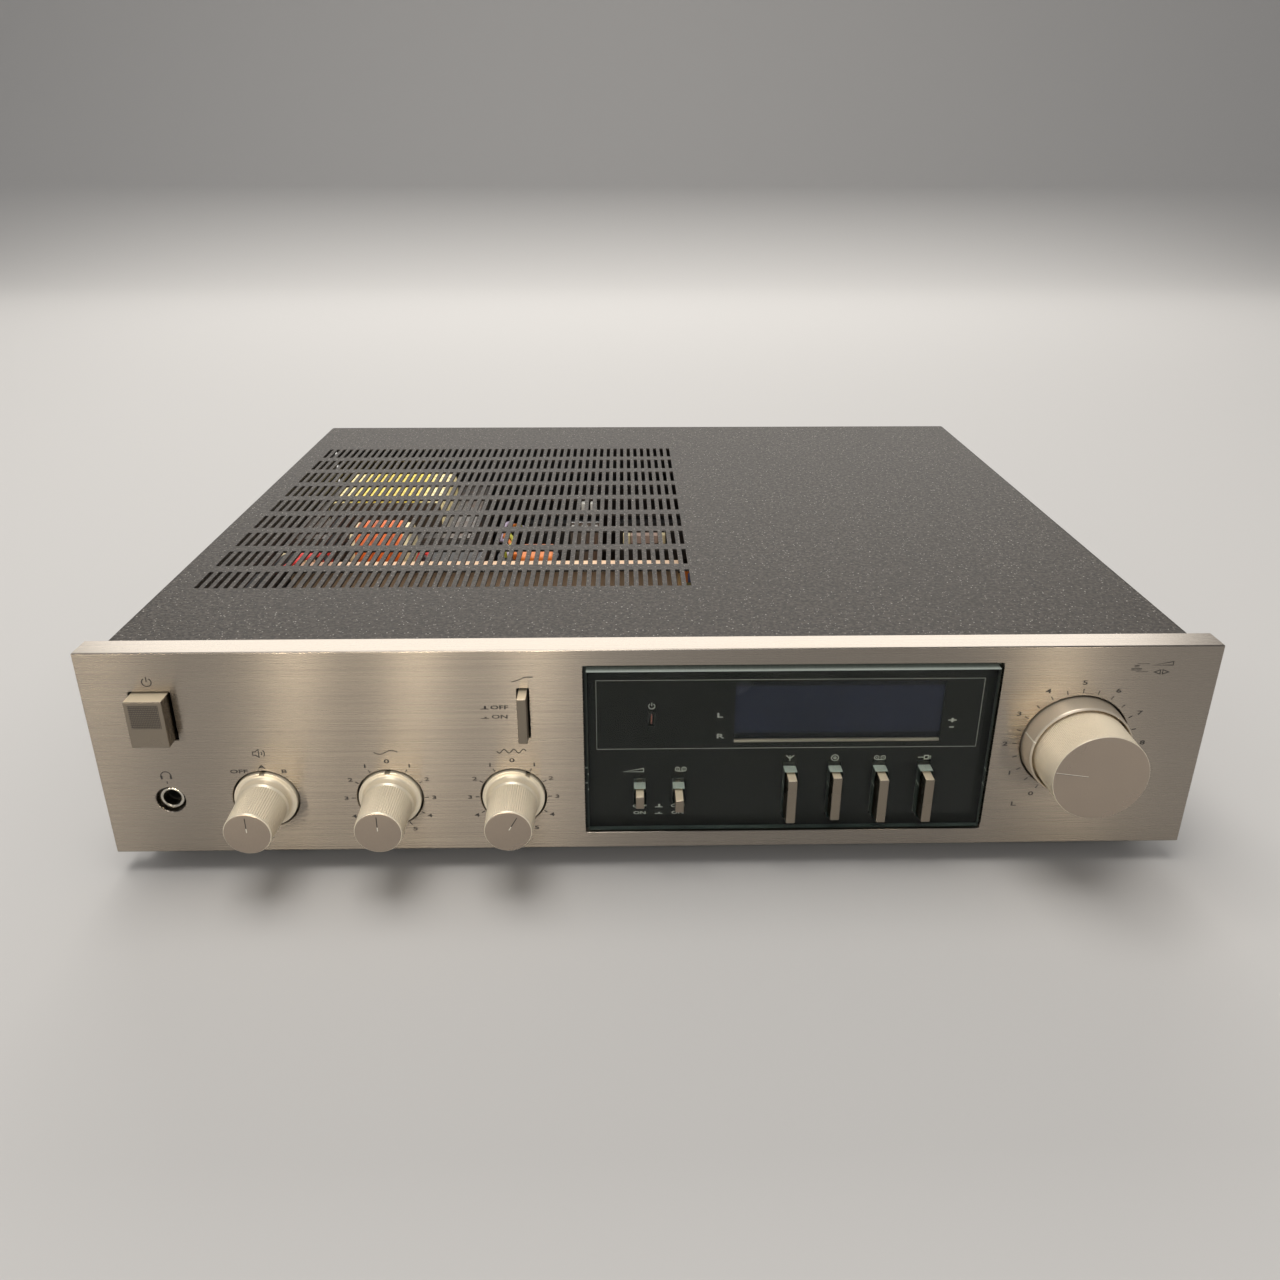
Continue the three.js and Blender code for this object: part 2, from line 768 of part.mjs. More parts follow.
// The folded sheet's section, outside then inside, each corner rounded by an arc
function coverSection() {
  const arc = (side, half, top, radius, start, end) => {
    const points = [];
    for (let i = 0; i <= coverBendSteps; i += 1) {
      const angle = start + (end - start) * (i / coverBendSteps);
      const out = half - radius + radius * Math.cos(angle);
      const up = top - radius + radius * Math.sin(angle);
      points.push([side * out, up]);
    }
    return points;
  };
  const innerBend = coverBend - coverSheet;
  const innerHalfWidth = coverHalf - coverSheet;
  const innerTop = coverTopZ - coverSheet;
  return [
    [coverHalf, coverBottomZ],
    ...arc(1, coverHalf, coverTopZ, coverBend, 0, Math.PI / 2),
    ...arc(-1, coverHalf, coverTopZ, coverBend, Math.PI / 2, 0),
    [-coverHalf, coverBottomZ],
    [-innerHalfWidth, coverBottomZ],
    ...arc(-1, innerHalfWidth, innerTop, innerBend, 0, Math.PI / 2),
    ...arc(1, innerHalfWidth, innerTop, innerBend, Math.PI / 2, 0),
    [innerHalfWidth, coverBottomZ],
  ];
}

function slotField() {
  const through = past([coverTopZ - coverSheet, coverTopZ]);
  const slots = [];
  for (let row = 0; row < slotRows; row += 1) {
    const y = panelBackY + slotFieldFront + row * slotRowPitch;
    for (let column = 0; column < slotsPerRow; column += 1) {
      const x = -coverHalf + slotFieldLeft + column * slotPitch;
      slots.push(boxGeometry([x, x + slotWidth], [y, y + slotLength], through));
    }
  }
  return toSolid(mergeGeometries(slots));
}

function makeCover() {
  const shell = extrudedY(coverSection(), [panelBackY + seatGap, coverRearY]);
  const screwHoles = screwYs.map((y) => (
    barX(y, screwZ, screwShankRadius + bushClearance, past([-coverHalf, coverHalf]), smallSteps)
  ));
  return cut(shell, slotField(), ...screwHoles);
}

addPart('top_cover', makeCover(), coverPaint);

// Cover screws, slotted, one pair on each side

function makeScrew() {
  const head = turned([
    [0, 0], [screwHeadRadius, 0], [screwHeadRadius, screwHeadSide],
    [screwTopRadius, screwHeadHeight], [0, screwHeadHeight],
  ], shaftSteps);
  const shank = barY(0, 0, screwShankRadius, [-screwShankLength, screwHeadSide], smallSteps);
  const slot = block(
    about(0, screwSlotWidth),
    [screwHeadHeight - screwSlotDepth, screwHeadHeight + overrun],
    past([-screwHeadRadius, screwHeadRadius]),
  );
  return cut(join(head, shank), slot);
}

for (const [side, sideName] of [[-1, 'left'], [1, 'right']]) {
  screwYs.forEach((y, index) => {
    const endName = index === 0 ? 'front' : 'rear';
    const screw = addPart(`cover_screw_${sideName}_${endName}`, makeScrew(), blackSteel);
    screw.position.set(side * (coverHalf + seatGap), y, screwZ);
    screw.rotation.z = -side * Math.PI / 2;
  });
}

// Feet

function makeFoot() {
  const top = trayFloorZ - seatGap;
  return turned([
    [0, footRecessDepth], [footRecessRadius, footRecessDepth], [footRecessRadius, 0],
    [footRadius - footTaper, 0], [footRadius, top / 2], [footRadius, top], [0, top],
  ], footSteps);
}

const footXs = [[-panelWidth / 2 + footSideInset, 'left'], [panelWidth / 2 - footSideInset, 'right']];
const footYs = [[panelBackY + footFrontInset, 'front'], [coverRearY - footRearInset, 'rear']];
for (const [x, sideName] of footXs) {
  for (const [y, endName] of footYs) {
    const foot = addPart(`foot_${endName}_${sideName}`, makeFoot(), blackPlastic);
    foot.position.set(x, y, 0);
    foot.rotation.x = Math.PI / 2;
  }
}

// Rear panel and its connectors

const jackUpperZ = jackLowerZ + jackRowPitch;
const jackPlaces = [jackLowerZ, jackUpperZ].flatMap((z) => (
  Array.from({ length: jackColumns }, (_, column) => [jackFirstX + column * jackPitch, z])
));
const connectorEndY = coverRearY + jackReach;

function makeRearPanel() {
  const through = past([rearPanelInnerY, rearPanelOuterY]);
  return cut(
    block([-innerHalf, innerHalf], [rearPanelInnerY, rearPanelOuterY], [trayTopZ + seatGap, innerTopZ]),
    block(
      about(terminalX, terminalWidth - 2 * terminalTail + 2 * seatGap),
      through,
      about(terminalZ, terminalHeight - terminalTail + 2 * seatGap),
    ),
    barY(groundX, groundZ, groundRadius + bushClearance, through, smallSteps),
    barY(glandX, glandZ, glandNeckRadius + bushClearance, through, controlSteps),
    ...jackPlaces.map(([x, z]) => barY(x, z, jackRadius + bushClearance, through, smallSteps)),
  );
}

function makeJackBlock() {
  const housing = block(
    [jackFirstX - jackHousingMargin, jackFirstX + (jackColumns - 1) * jackPitch + jackHousingMargin],
    [rearPanelInnerY - seatGap - jackHousingDepth, rearPanelInnerY - seatGap],
    [boardTopZ + seatGap, jackUpperZ + jackHousingMargin],
  );
  const barrels = jackPlaces.map(([x, z]) => (
    barY(x, z, jackRadius, [rearPanelInnerY - seatGap - rootLap, connectorEndY], smallSteps)
  ));
  const bores = jackPlaces.map(([x, z]) => (
    barY(x, z, jackBoreRadius, [connectorEndY - jackBoreDepth, connectorEndY + overrun], jackSides)
  ));
  return cut(join(housing, ...barrels), ...bores);
}

// A strip with ribs between its screws, and a block behind that passes through the rear panel
function makeSpeakerTerminals() {
  const faceY = rearPanelOuterY + seatGap;
  const heights = about(terminalZ, terminalHeight);
  const strip = block(about(terminalX, terminalWidth), [faceY, faceY + terminalBase], heights);
  const tail = block(
    about(terminalX, terminalWidth - 2 * terminalTail),
    [rearPanelInnerY - terminalTail, faceY + terminalBase / 2],
    about(terminalZ, terminalHeight - terminalTail),
  );
  const pitch = (terminalWidth - terminalRib) / terminalCount;
  const left = terminalX - terminalWidth / 2;
  const ribs = [];
  const screws = [];
  for (let i = 0; i <= terminalCount; i += 1) {
    const ribLeft = left + i * pitch;
    const ribRight = ribLeft + terminalRib;
    ribs.push(block([ribLeft, ribRight], [faceY + terminalBase / 2, faceY + terminalDepth], heights));
    if (i === terminalCount) break;
    const screwX = (ribRight + ribLeft + pitch) / 2;
    const headYs = [faceY + terminalBase / 2, faceY + terminalBase + terminalScrewHeight];
    screws.push(barY(screwX, terminalZ, terminalScrewRadius, headYs, smallSteps));
  }
  return join(strip, tail, ...ribs, ...screws);
}

function makeGroundPost() {
  const outerFace = rearPanelOuterY + seatGap;
  const innerFace = rearPanelInnerY - seatGap;
  const nutEnd = outerFace + groundNutReach;
  return join(
    barY(groundX, groundZ, groundRadius, [innerFace - groundTail, nutEnd + groundTip], smallSteps),
    barY(groundX, groundZ, groundNutRadius, [outerFace, nutEnd], controlSteps),
    barY(groundX, groundZ, groundNutRadius, [innerFace - groundInnerNut, innerFace], hexSides),
  );
}

function makeGland() {
  const outerFace = rearPanelOuterY + seatGap;
  const innerFace = rearPanelInnerY - seatGap;
  const innerEnd = innerFace - glandShoulder;
  const outerEnd = outerFace + glandReach;
  const gland = turned([
    [glandBoreRadius, innerEnd], [glandRadius, innerEnd], [glandRadius, innerFace],
    [glandNeckRadius, innerFace], [glandNeckRadius, outerFace], [glandRadius, outerFace],
    [glandRadius - glandTaper, outerEnd], [glandBoreRadius, outerEnd],
    [glandBoreRadius, innerEnd],
  ], controlSteps);
  return gland.translate([glandX, 0, glandZ]);
}

addPart('rear_panel', makeRearPanel(), blackSteel);
addPart('input_jack_block', makeJackBlock(), platedBrass);
addPart('speaker_terminals', makeSpeakerTerminals(), blackPlastic);
addPart('ground_post', makeGroundPost(), platedBrass);
addPart('cord_gland', makeGland(), blackPlastic);

// Boards and what stands on them

addPart('main_board', extrudedZ(mainBoardOutline, [boardZ, boardTopZ]), boardPaper);
addPart('preamp_board', extrudedZ(preampOutline, [boardZ, boardTopZ]), boardPaper);

const boardSeatZ = boardTopZ + seatGap;

['left', 'right'].forEach((sideName, index) => {
  const x = mainBoardLeft + capacitorInset + index * capacitorPitch;
  const y = mainBoardFront + capacitorFrontInset;
  const heights = [boardSeatZ, boardSeatZ + capacitorHeight];
  const can = barZ(x, y, capacitorRadius, heights, footSteps);
  addPart(`filter_capacitor_${sideName}`, can, blackSleeve);
});

function makeRelay() {
  const x = transformerX + relayOffset;
  const y = transformerFront - relayGap - relayCoilRadius;
  const z = boardSeatZ + relayAxisHeight;
  const length = relayCoilLength + 2 * relayCheekLength;
  const blockTop = z - relayCoilRadius + rootLap;
  return join(
    block(about(x, relayBlockWidth), about(y, relayBlockDepth), [boardSeatZ, blockTop]),
    barX(y, z, relayCoilRadius, about(x, relayCoilLength), footSteps),
    barX(y, z, relayCheekRadius, about(x, length), footSteps),
  );
}

addPart('speaker_relay', makeRelay(), orangeTape);

// Mains transformer: a laminated frame with two windows, and the winding on its tongue

const coreBottomZ = trayTopZ + corePillarHeight;
const coreTopZ = coreBottomZ + coreStack;
const coreSpanX = about(transformerX, coreWidth);
const coreSpanY = about(transformerY, coreDepth);
const coreWindowYs = about(transformerY, coreWindowLength);
const coreWindowXs = [-1, 1].map((side) => (
  about(transformerX + side * (coreTongue + coreWindow) / 2, coreWindow)
));

function makeCore() {
  const through = past([coreBottomZ, coreTopZ]);
  const pillars = coreSpanX.flatMap((x) => coreSpanY.map((y) => barZ(
    x + Math.sign(transformerX - x) * coreLimb / 2,
    y + Math.sign(transformerY - y) * coreLimb / 2,
    corePillarRadius,
    [trayTopZ + seatGap, coreBottomZ + rootLap],
    pillarSteps,
  )));
  const frame = block(coreSpanX, coreSpanY, [coreBottomZ, coreTopZ]);
  return join(cut(frame, ...coreWindowXs.map((xs) => block(xs, coreWindowYs, through))), ...pillars);
}

const windingTopZ = coreTopZ + windingRise;
const windingYs = [coreWindowYs[0] + windingGap, coreWindowYs[1] - windingGap];

// The taped coil fills both windows and stands out above and below the core
function makeWinding() {
  const [leftXs, rightXs] = coreWindowXs;
  const coil = block(
    [leftXs[0] + windingGap, rightXs[1] - windingGap],
    windingYs,
    [coreBottomZ - windingRise, windingTopZ],
  );
  const tongue = block(
    [leftXs[1] - windingGap, rightXs[0] + windingGap],
    past(windingYs),
    [coreBottomZ - windingGap, coreTopZ + windingGap],
  );
  return cut(coil, tongue);
}

addPart('transformer_core', makeCore(), laminatedSteel);
addPart('transformer_winding', makeWinding(), yellowTape);

// Wiring loom, laced into one bundle, from the winding's front to the back of the power switch

function makeLoom() {
  const start = windingYs[0] - seatGap;
  const end = switchFrontY + powerSwitchDepth + seatGap;
  const startX = transformerX - loomStartOffset;
  const startZ = windingTopZ - loomStartDrop;
  const overCoreY = coreSpanY[0] - loomCoreLead;
  const plateZ = crossPlateTopZ + loomPlateGap + loomRadius;
  const route = new THREE.CatmullRomCurve3([
    new THREE.Vector3(startX, start, startZ),
    new THREE.Vector3(startX, overCoreY, startZ),
    new THREE.Vector3(startX, (overCoreY + crossPlateY) / 2, startZ - loomSag),
    new THREE.Vector3(startX, crossPlateY, plateZ),
    new THREE.Vector3((startX + powerX) / 2, crossPlateY - loomForward, plateZ),
    new THREE.Vector3(powerX, end + loomRun, (plateZ + upperZ) / 2),
    new THREE.Vector3(powerX, end + loomSwitchLead, upperZ),
    new THREE.Vector3(powerX, end, upperZ),
  ], false, 'centripetal');
  const section = new THREE.Shape();
  for (let i = 0; i < loomSides; i += 1) {
    const angle = 2 * Math.PI * (i / loomSides);
    const [x, y] = [loomRadius * Math.cos(angle), loomRadius * Math.sin(angle)];
    if (i === 0) section.moveTo(x, y);
    else section.lineTo(x, y);
  }
  const tube = new THREE.ExtrudeGeometry(section, {
    steps: loomSteps,
    extrudePath: route,
    bevelEnabled: false,
  });
  return toSolid(tube);
}

addPart('wiring_loom', makeLoom(), wireSleeve);

// Heat sink, a comb of fins on a base, with one output module per channel on its front

function makeHeatSink() {
  const [baseFront, baseBack] = [sinkY, sinkY + sinkBase];
  const finPitch = (sinkWidth - finThickness) / (finCount - 1);
  const outline = [[sinkLeft, baseFront], [sinkRight, baseFront]];
  for (let i = finCount - 1; i >= 0; i -= 1) {
    const x = sinkLeft + i * finPitch;
    const tip = baseBack + finLength;
    if (i < finCount - 1) outline.push([x + finThickness, baseBack]);
    outline.push([x + finThickness, tip], [x, tip]);
    if (i > 0) outline.push([x, baseBack]);
  }
  return extrudedZ(outline, [trayTopZ + seatGap, trayTopZ + seatGap + sinkHeight]);
}

addPart('heat_sink', makeHeatSink(), blackAnodised);

[-1, 1].forEach((side) => {
  const moduleBottom = trayTopZ + seatGap + moduleLift;
  const body = block(
    about((sinkLeft + sinkRight) / 2 + side * modulePitch / 2, moduleWidth),
    [sinkY - seatGap - moduleDepth, sinkY - seatGap],
    [moduleBottom, moduleBottom + moduleHeight],
  );
  addPart(`output_module_${side < 0 ? 'left' : 'right'}`, body, blackPlastic);
});

// Push switches and their buttons

// A row of switches behind the sub-panel, with a square way through for each stem
function makeSwitchBody(xs, z, stem, { margin, depth, height }) {
  const body = block(
    [Math.min(...xs) - margin, Math.max(...xs) + margin],
    [switchFrontY, switchFrontY + depth],
    about(z, height),
  );
  const through = past([switchFrontY, switchFrontY + depth]);
  return cut(body, ...xs.map((x) => stemWay(x, z, stem, through)));
}

const stemEnd = switchFrontY - panelFaceY + stemLength;

// A button around local zero: the cap's face at y = -reach and its stem behind
function makeButton([width, height], reach, tail, [stemX, stemZ]) {
  const cap = join(
    block(about(0, width), [-reach + buttonEdge, tail], about(0, height)),
    block(about(0, width - 2 * buttonEdge), [-reach, tail], about(0, height - 2 * buttonEdge)),
  );
  return join(cap, block(about(0, stemX), [tail - rootLap, stemEnd], about(0, stemZ)));
}

function addButton(name, x, z, solid, pressedIn) {
  const button = addPart(name, solid, turnedAluminium);
  button.position.set(x, panelFaceY + pressedIn, z);
}

const switchCase = { margin: switchBodyMargin, depth: switchBodyDepth, height: switchBodyHeight };
const powerCase = {
  margin: powerStem / 2 + powerSwitchMargin,
  depth: powerSwitchDepth,
  height: powerStem + 2 * powerSwitchMargin,
};
addPart('selector_switches', makeSwitchBody(selectorX, lowerZ, stemSize, switchCase), switchMetal);
addPart('mode_switches', makeSwitchBody(modeX, lowerZ, stemSize, switchCase), switchMetal);
addPart('filter_switch', makeSwitchBody([filterX], upperZ, stemSize, switchCase), switchMetal);
addPart('power_switch', makeSwitchBody([powerX], upperZ, powerStemSize, powerCase), blackPlastic);

const selectorCap = [selectorWidth, selectorHeight];
selectorNames.forEach((name, index) => {
  const button = makeButton(selectorCap, selectorReach, buttonTail - selectorLatch, stemSize);
  addButton(name, selectorX[index], lowerZ, button, name === 'phono_button' ? selectorLatch : 0);
});

const modeNames = ['loudness_button', 'adaptor_button'];
modeNames.forEach((name, index) => {
  const button = makeButton([modeWidth, modeHeight], modeReach, buttonTail - modeLatch, stemSize);
  addButton(name, modeX[index], lowerZ, button, name === 'loudness_button' ? modeLatch : 0);
});

const filterButton = makeButton([filterWidth, filterHeight], filterReach, powerTail, stemSize);
addButton('low_cut_button', filterX, upperZ, filterButton, 0);
const powerButton = makeButton([powerWidth, powerHeight], powerReach, powerTail, powerStemSize);
addButton('power_button', powerX, upperZ, powerButton, 0);

// Headphone socket

function makeSocket() {
  const bodyEnd = switchFrontY + socketDepth;
  const front = panelFaceY + socketSetback;
  return cut(
    join(
      barY(powerX, lowerZ, socketRingRadius, [front, switchFrontY + rootLap], controlSteps),
      block(about(powerX, socketBodyWidth), [switchFrontY, bodyEnd], about(lowerZ, socketBodyHeight)),
    ),
    barY(powerX, lowerZ, socketBoreRadius, [front - overrun, bodyEnd - socketEndWall], footSteps),
  );
}

addPart('headphone_socket', makeSocket(), platedBrass);

// Rotary controls: body, shaft and knob around a shared axis, y = 0 at the panel's face

const controlFrontY = switchFrontY - panelFaceY;
const bushFrontY = controlFrontY - bushLength;

function controlGroup(x, z) {
  const group = new THREE.Group();
  group.position.set(x, panelFaceY, z);
  amplifier.add(group);
  return group;
}

function makeControlBody(radius, depth) {
  return cut(
    join(
      barY(0, 0, bushRadius, [bushFrontY, controlFrontY + rootLap], controlSteps),
      barY(0, 0, radius, [controlFrontY, controlFrontY + depth], controlSteps),
    ),
    barY(0, 0, shaftBore, past([bushFrontY, controlFrontY + depth]), controlSteps),
  );
}

// The face's pointer is a groove from the rim towards the centre
function pointerGroove(reach, rimRadius) {
  const depths = [-reach - overrun, -reach + pointerDepth];
  return block(about(0, pointerWidth), depths, [pointerInnerRadius, rimRadius + overrun]);
}

// A knob with a flange that turns in the panel's recess and a notch in the flange over the pointer
function makeSmallKnob() {
  const body = turned([
    [0, -knobReach], [knobFaceRadius - knobEdge, -knobReach], [knobFaceRadius, -knobReach + knobEdge],
    [knobBodyRadius, -knobCollarReach - knobEdge], [knobCollarRadius, -knobCollarReach],
    [knobCollarRadius + knobEdge, -knobFlangeReach], [knobFlangeRadius - knobEdge, -knobFlangeReach],
    [knobFlangeRadius, -knobFlangeReach + knobEdge], [knobFlangeRadius, knobTail], [0, knobTail],
  ], knobSteps);
  const notch = block(
    about(0, knobNotchWidth),
    past([-knobFlangeReach, knobTail]),
    [knobFlangeRadius - knobNotchDepth, knobFlangeRadius + overrun],
  );
  const bore = barY(0, 0, shaftBore, [-knobReach + knobBoreEnd, knobTail + overrun], controlSteps);
  return cut(body, notch, bore, pointerGroove(knobReach, knobFaceRadius));
}

function makeShaft(reach, depth) {
  const ends = [-reach + knobBoreEnd + bushClearance, controlFrontY + depth - bushClearance];
  return barY(0, 0, shaftRadius, ends, shaftSteps);
}

const smallControls = [
  ['speakers', speakersX, 'speaker_switch', speakerSwitchRadius, 0],
  ['bass', bassX, 'bass_control', controlRadius, 0],
  ['treble', trebleX, 'treble_control', controlRadius, trebleRest],
];
for (const [name, x, bodyName, radius, restAngle] of smallControls) {
  const group = controlGroup(x, lowerZ);
  addPart(bodyName, makeControlBody(radius, controlDepth), switchMetal, group);
  addPart(`${name}_shaft`, makeShaft(knobReach, controlDepth), zincSteel, group);
  const knob = addPart(`${name}_knob`, makeSmallKnob(), turnedAluminium, group);
  knob.rotation.y = THREE.MathUtils.degToRad(restAngle);
}

// Volume knob on the inner shaft, balance ring on the sleeve around it

const ringWebFront = ringSetback;
const ringWebBack = ringWebFront + ringWeb;
const ringHubBack = ringWebFront + ringHubLength;

function makeVolumeKnob() {
  const body = turned([
    [0, -volumeReach], [volumeFaceRadius - knobEdge, -volumeReach],
    [volumeFaceRadius, -volumeReach + knobEdge], [volumeBaseRadius, -seatGap - knobEdge],
    [volumeBaseRadius - knobEdge, -seatGap], [0, -seatGap],
  ], knobSteps);
  const bore = barY(0, 0, shaftBore, [-volumeReach + knobBoreEnd, overrun], controlSteps);
  return cut(body, bore, pointerGroove(volumeReach, volumeFaceRadius));
}

function makeBalanceRing() {
  const bore = sleeveRadius + bushClearance;
  const ring = turned([
    [bore, ringWebFront], [ringBoreRadius, ringWebFront], [ringBoreRadius, -ringReach],
    [ringFrontRadius - ringBevel, -ringReach], [ringFrontRadius, -ringReach + ringBevel],
    [ringOuterRadius, 0], [ringOuterRadius, ringWebBack], [ringHubRadius, ringWebBack],
    [ringHubRadius, ringHubBack], [bore, ringHubBack],
    [bore, ringWebFront],
  ], knobSteps);
  const notch = block(
    about(0, pointerWidth),
    [-ringReach - overrun, -ringReach + pointerDepth],
    past([ringBoreRadius, ringOuterRadius]),
  );
  return cut(ring, notch);
}

const sleeveEnd = controlFrontY + volumeControlDepth / 2;

function makeSleeve() {
  return cut(
    barY(0, 0, sleeveRadius, [ringWebFront, sleeveEnd], controlSteps),
    barY(0, 0, shaftBore, past([ringWebFront, sleeveEnd]), shaftSteps),
  );
}

function makeVolumeControl() {
  return cut(
    join(
      barY(0, 0, volumeBushRadius, [ringHubBack + ringHubGap, controlFrontY + rootLap], controlSteps),
      barY(0, 0, volumeControlRadius, [controlFrontY, controlFrontY + volumeControlDepth], controlSteps),
    ),
    barY(0, 0, sleeveRadius + bushClearance, [0, sleeveEnd + bushClearance], controlSteps),
    barY(0, 0, shaftBore, [0, controlFrontY + volumeControlDepth + overrun], controlSteps),
  );
}

const volumeGroup = controlGroup(volumeX, volumeZ);
addPart('volume_control', makeVolumeControl(), switchMetal, volumeGroup);
addPart('volume_shaft', makeShaft(volumeReach, volumeControlDepth), zincSteel, volumeGroup);
addPart('balance_sleeve', makeSleeve(), zincSteel, volumeGroup);
const volumeKnob = addPart('volume_knob', makeVolumeKnob(), turnedAluminium, volumeGroup);
volumeKnob.rotation.y = THREE.MathUtils.degToRad(volumeRest);
const balanceRing = addPart('balance_ring', makeBalanceRing(), turnedAluminium, volumeGroup);
balanceRing.rotation.y = THREE.MathUtils.degToRad(ringRest);

export default amplifier;
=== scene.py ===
import math

import bmesh
import bpy
import numpy as np
from mathutils import Matrix, Vector


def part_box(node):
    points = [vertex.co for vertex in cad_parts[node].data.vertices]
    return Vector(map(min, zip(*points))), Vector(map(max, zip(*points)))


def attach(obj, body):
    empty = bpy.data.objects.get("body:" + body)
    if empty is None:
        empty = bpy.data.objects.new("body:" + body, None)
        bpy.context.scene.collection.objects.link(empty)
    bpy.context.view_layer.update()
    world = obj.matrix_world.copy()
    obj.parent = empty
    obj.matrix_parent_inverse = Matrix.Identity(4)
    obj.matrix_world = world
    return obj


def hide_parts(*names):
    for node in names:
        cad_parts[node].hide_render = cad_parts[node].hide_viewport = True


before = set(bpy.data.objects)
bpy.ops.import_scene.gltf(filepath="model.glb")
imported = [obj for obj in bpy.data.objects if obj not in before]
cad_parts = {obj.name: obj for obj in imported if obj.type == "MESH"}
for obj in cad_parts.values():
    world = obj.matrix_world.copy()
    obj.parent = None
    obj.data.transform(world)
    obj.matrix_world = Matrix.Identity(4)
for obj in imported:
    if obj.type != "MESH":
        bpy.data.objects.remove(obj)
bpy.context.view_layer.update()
mm = 0.001


def corners(node):
    # A node's lowest and highest corner, in millimetres
    low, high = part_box(node)
    return np.array(low) / mm, np.array(high) / mm


def middle(node):
    low, high = corners(node)
    return (low + high) / 2


panelLow, panelHigh = corners("front_panel")
faceY = panelLow[1]
print("frame loaded, panel face at", round(float(faceY), 2), "mm")

# Shapes


class Shape:
    # Points in millimetres, and blocks of faces: an array with one row of point numbers a face
    def __init__(self, points, blocks):
        self.points = np.asarray(points, float).reshape(-1, 3)
        self.blocks = [(np.atleast_2d(rows), finish) for rows, finish in blocks]

    def moved(self, x=0.0, y=0.0, z=0.0):
        return Shape(self.points + (x, y, z), self.blocks)


def together(shapes):
    points = np.vstack([shape.points for shape in shapes])
    blocks = []
    start = 0
    for shape in shapes:
        blocks += [(rows + start, finish) for rows, finish in shape.blocks]
        start += len(shape.points)
    return Shape(points, blocks)


def loft(rings, finish=0, wrap=False):
    # Point (level, step) of a grid of closed rings, each joined to the next; the ends are filled
    rings = np.asarray(rings, float)
    levels, steps = rings.shape[:2]
    grid = np.arange(levels * steps).reshape(levels, steps)
    if wrap:
        grid = np.vstack([grid, grid[:1]])
    ahead = np.roll(grid, -1, axis=1)
    sides = np.stack([grid[:-1], ahead[:-1], ahead[1:], grid[1:]], -1).reshape(-1, 4)
    ends = [] if wrap else [(grid[:1], finish), (grid[-1:], finish)]
    return Shape(rings, [(sides, finish), *ends])


def circle(radius, steps=96):
    # (radius sin a, radius cos a), clockwise from the top
    angle = np.linspace(0, 2 * np.pi, steps, endpoint=False)
    return radius * np.stack([np.sin(angle), np.cos(angle)], -1)


def roundRect(width, height, radius=0.3, steps=4):
    # Quarter arcs of one radius round the corners of a rectangle
    turn = np.linspace(0, np.pi / 2, steps + 1) + np.arange(4)[:, None] * np.pi / 2
    signs = np.array([[1, 1], [-1, 1], [-1, -1], [1, -1]])
    centres = signs * (width / 2 - radius, height / 2 - radius)
    arcs = centres[:, None] + radius * np.stack([np.cos(turn), np.sin(turn)], -1)
    return arcs.reshape(-1, 2)


def inset(outline, distance):
    # Each corner moves inwards along the sum of its two sides' normals, so that both sides move alike
    following = np.roll(outline, -1, axis=0)
    ahead = following - outline
    area = np.sum(outline[:, 0] * following[:, 1] - outline[:, 1] * following[:, 0])
    normal = np.stack([-ahead[:, 1], ahead[:, 0]], -1) * math.copysign(1, area)
    normal /= np.linalg.norm(normal, axis=1, keepdims=True)
    before = np.roll(normal, 1, axis=0)
    share = 1 + np.sum(normal * before, axis=1, keepdims=True)
    return outline + distance * (normal + before) / share


# For each axis: the columns across it, up it and along it
planes = {"x": (1, 2, 0), "y": (0, 2, 1), "z": (0, 1, 2)}
# Steps in a block's rounding, and its corner radius as a share of its edge, which leaves no sharp point
edgeSteps = 3
cornerShare = 1.01


def layers(levels, axis="y", centre=(0, 0, 0), finish=0):
    # (place along the axis, outline across it) for each level
    across, up, along = planes[axis]
    rings = np.zeros((len(levels), len(levels[0][1]), 3))
    for ring, (place, outline) in zip(rings, levels):
        ring[:, across] = outline[:, 0]
        ring[:, up] = outline[:, 1]
        ring[:, along] = place
    return loft(rings + centre, finish)


def block(low, high, edge=0.3, axis="y", finish=0):
    # A box whose ends curve in by edge (1 - sin a), edge (1 - cos a), and whose long corners are round
    low, high = np.asarray(low, float), np.asarray(high, float)
    across, up, along = planes[axis]
    size = high - low
    turn = np.linspace(0, np.pi / 2, edgeSteps + 1)
    lost = edge * (1 - np.sin(turn))
    rise = edge * (1 - np.cos(turn))
    corner = edge * cornerShare
    half = size[along] / 2
    places = np.concatenate([rise - half, (half - rise)[::-1]])
    levels = [
        (place, roundRect(size[across] - 2 * loss, size[up] - 2 * loss, corner - loss, edgeSteps))
        for place, loss in zip(places, np.concatenate([lost, lost[::-1]]))
    ]
    return layers(levels, axis, (low + high) / 2, finish)


def turned(profile, centre, steps=96, axis="y", relief=(), finish=0, wrap=False):
    # Profile rows are radius, place and a share of each relief; the radius loses share times relief
    profile = np.array(profile, float)
    angle = np.linspace(0, 2 * np.pi, steps, endpoint=False)
    radius = profile[:, :1] + 0 * angle
    for number, depth in enumerate(relief):
        radius = radius - profile[:, 2 + number, None] * depth
    across, up, along = planes[axis]
    rings = np.zeros((len(profile), steps, 3))
    rings[..., across] = radius * np.sin(angle)
    rings[..., up] = radius * np.cos(angle)
    rings[..., along] = profile[:, 1, None]
    return loft(rings + np.asarray(centre, float), finish, wrap)


def flutes(count, steps, depth):
    # depth times (1 - |cos|) of half the flute's angle: rounded ribs with sharp valleys
    angle = np.linspace(0, 2 * np.pi, steps, endpoint=False)
    return depth * (1 - np.abs(np.cos(count * angle / 2)))


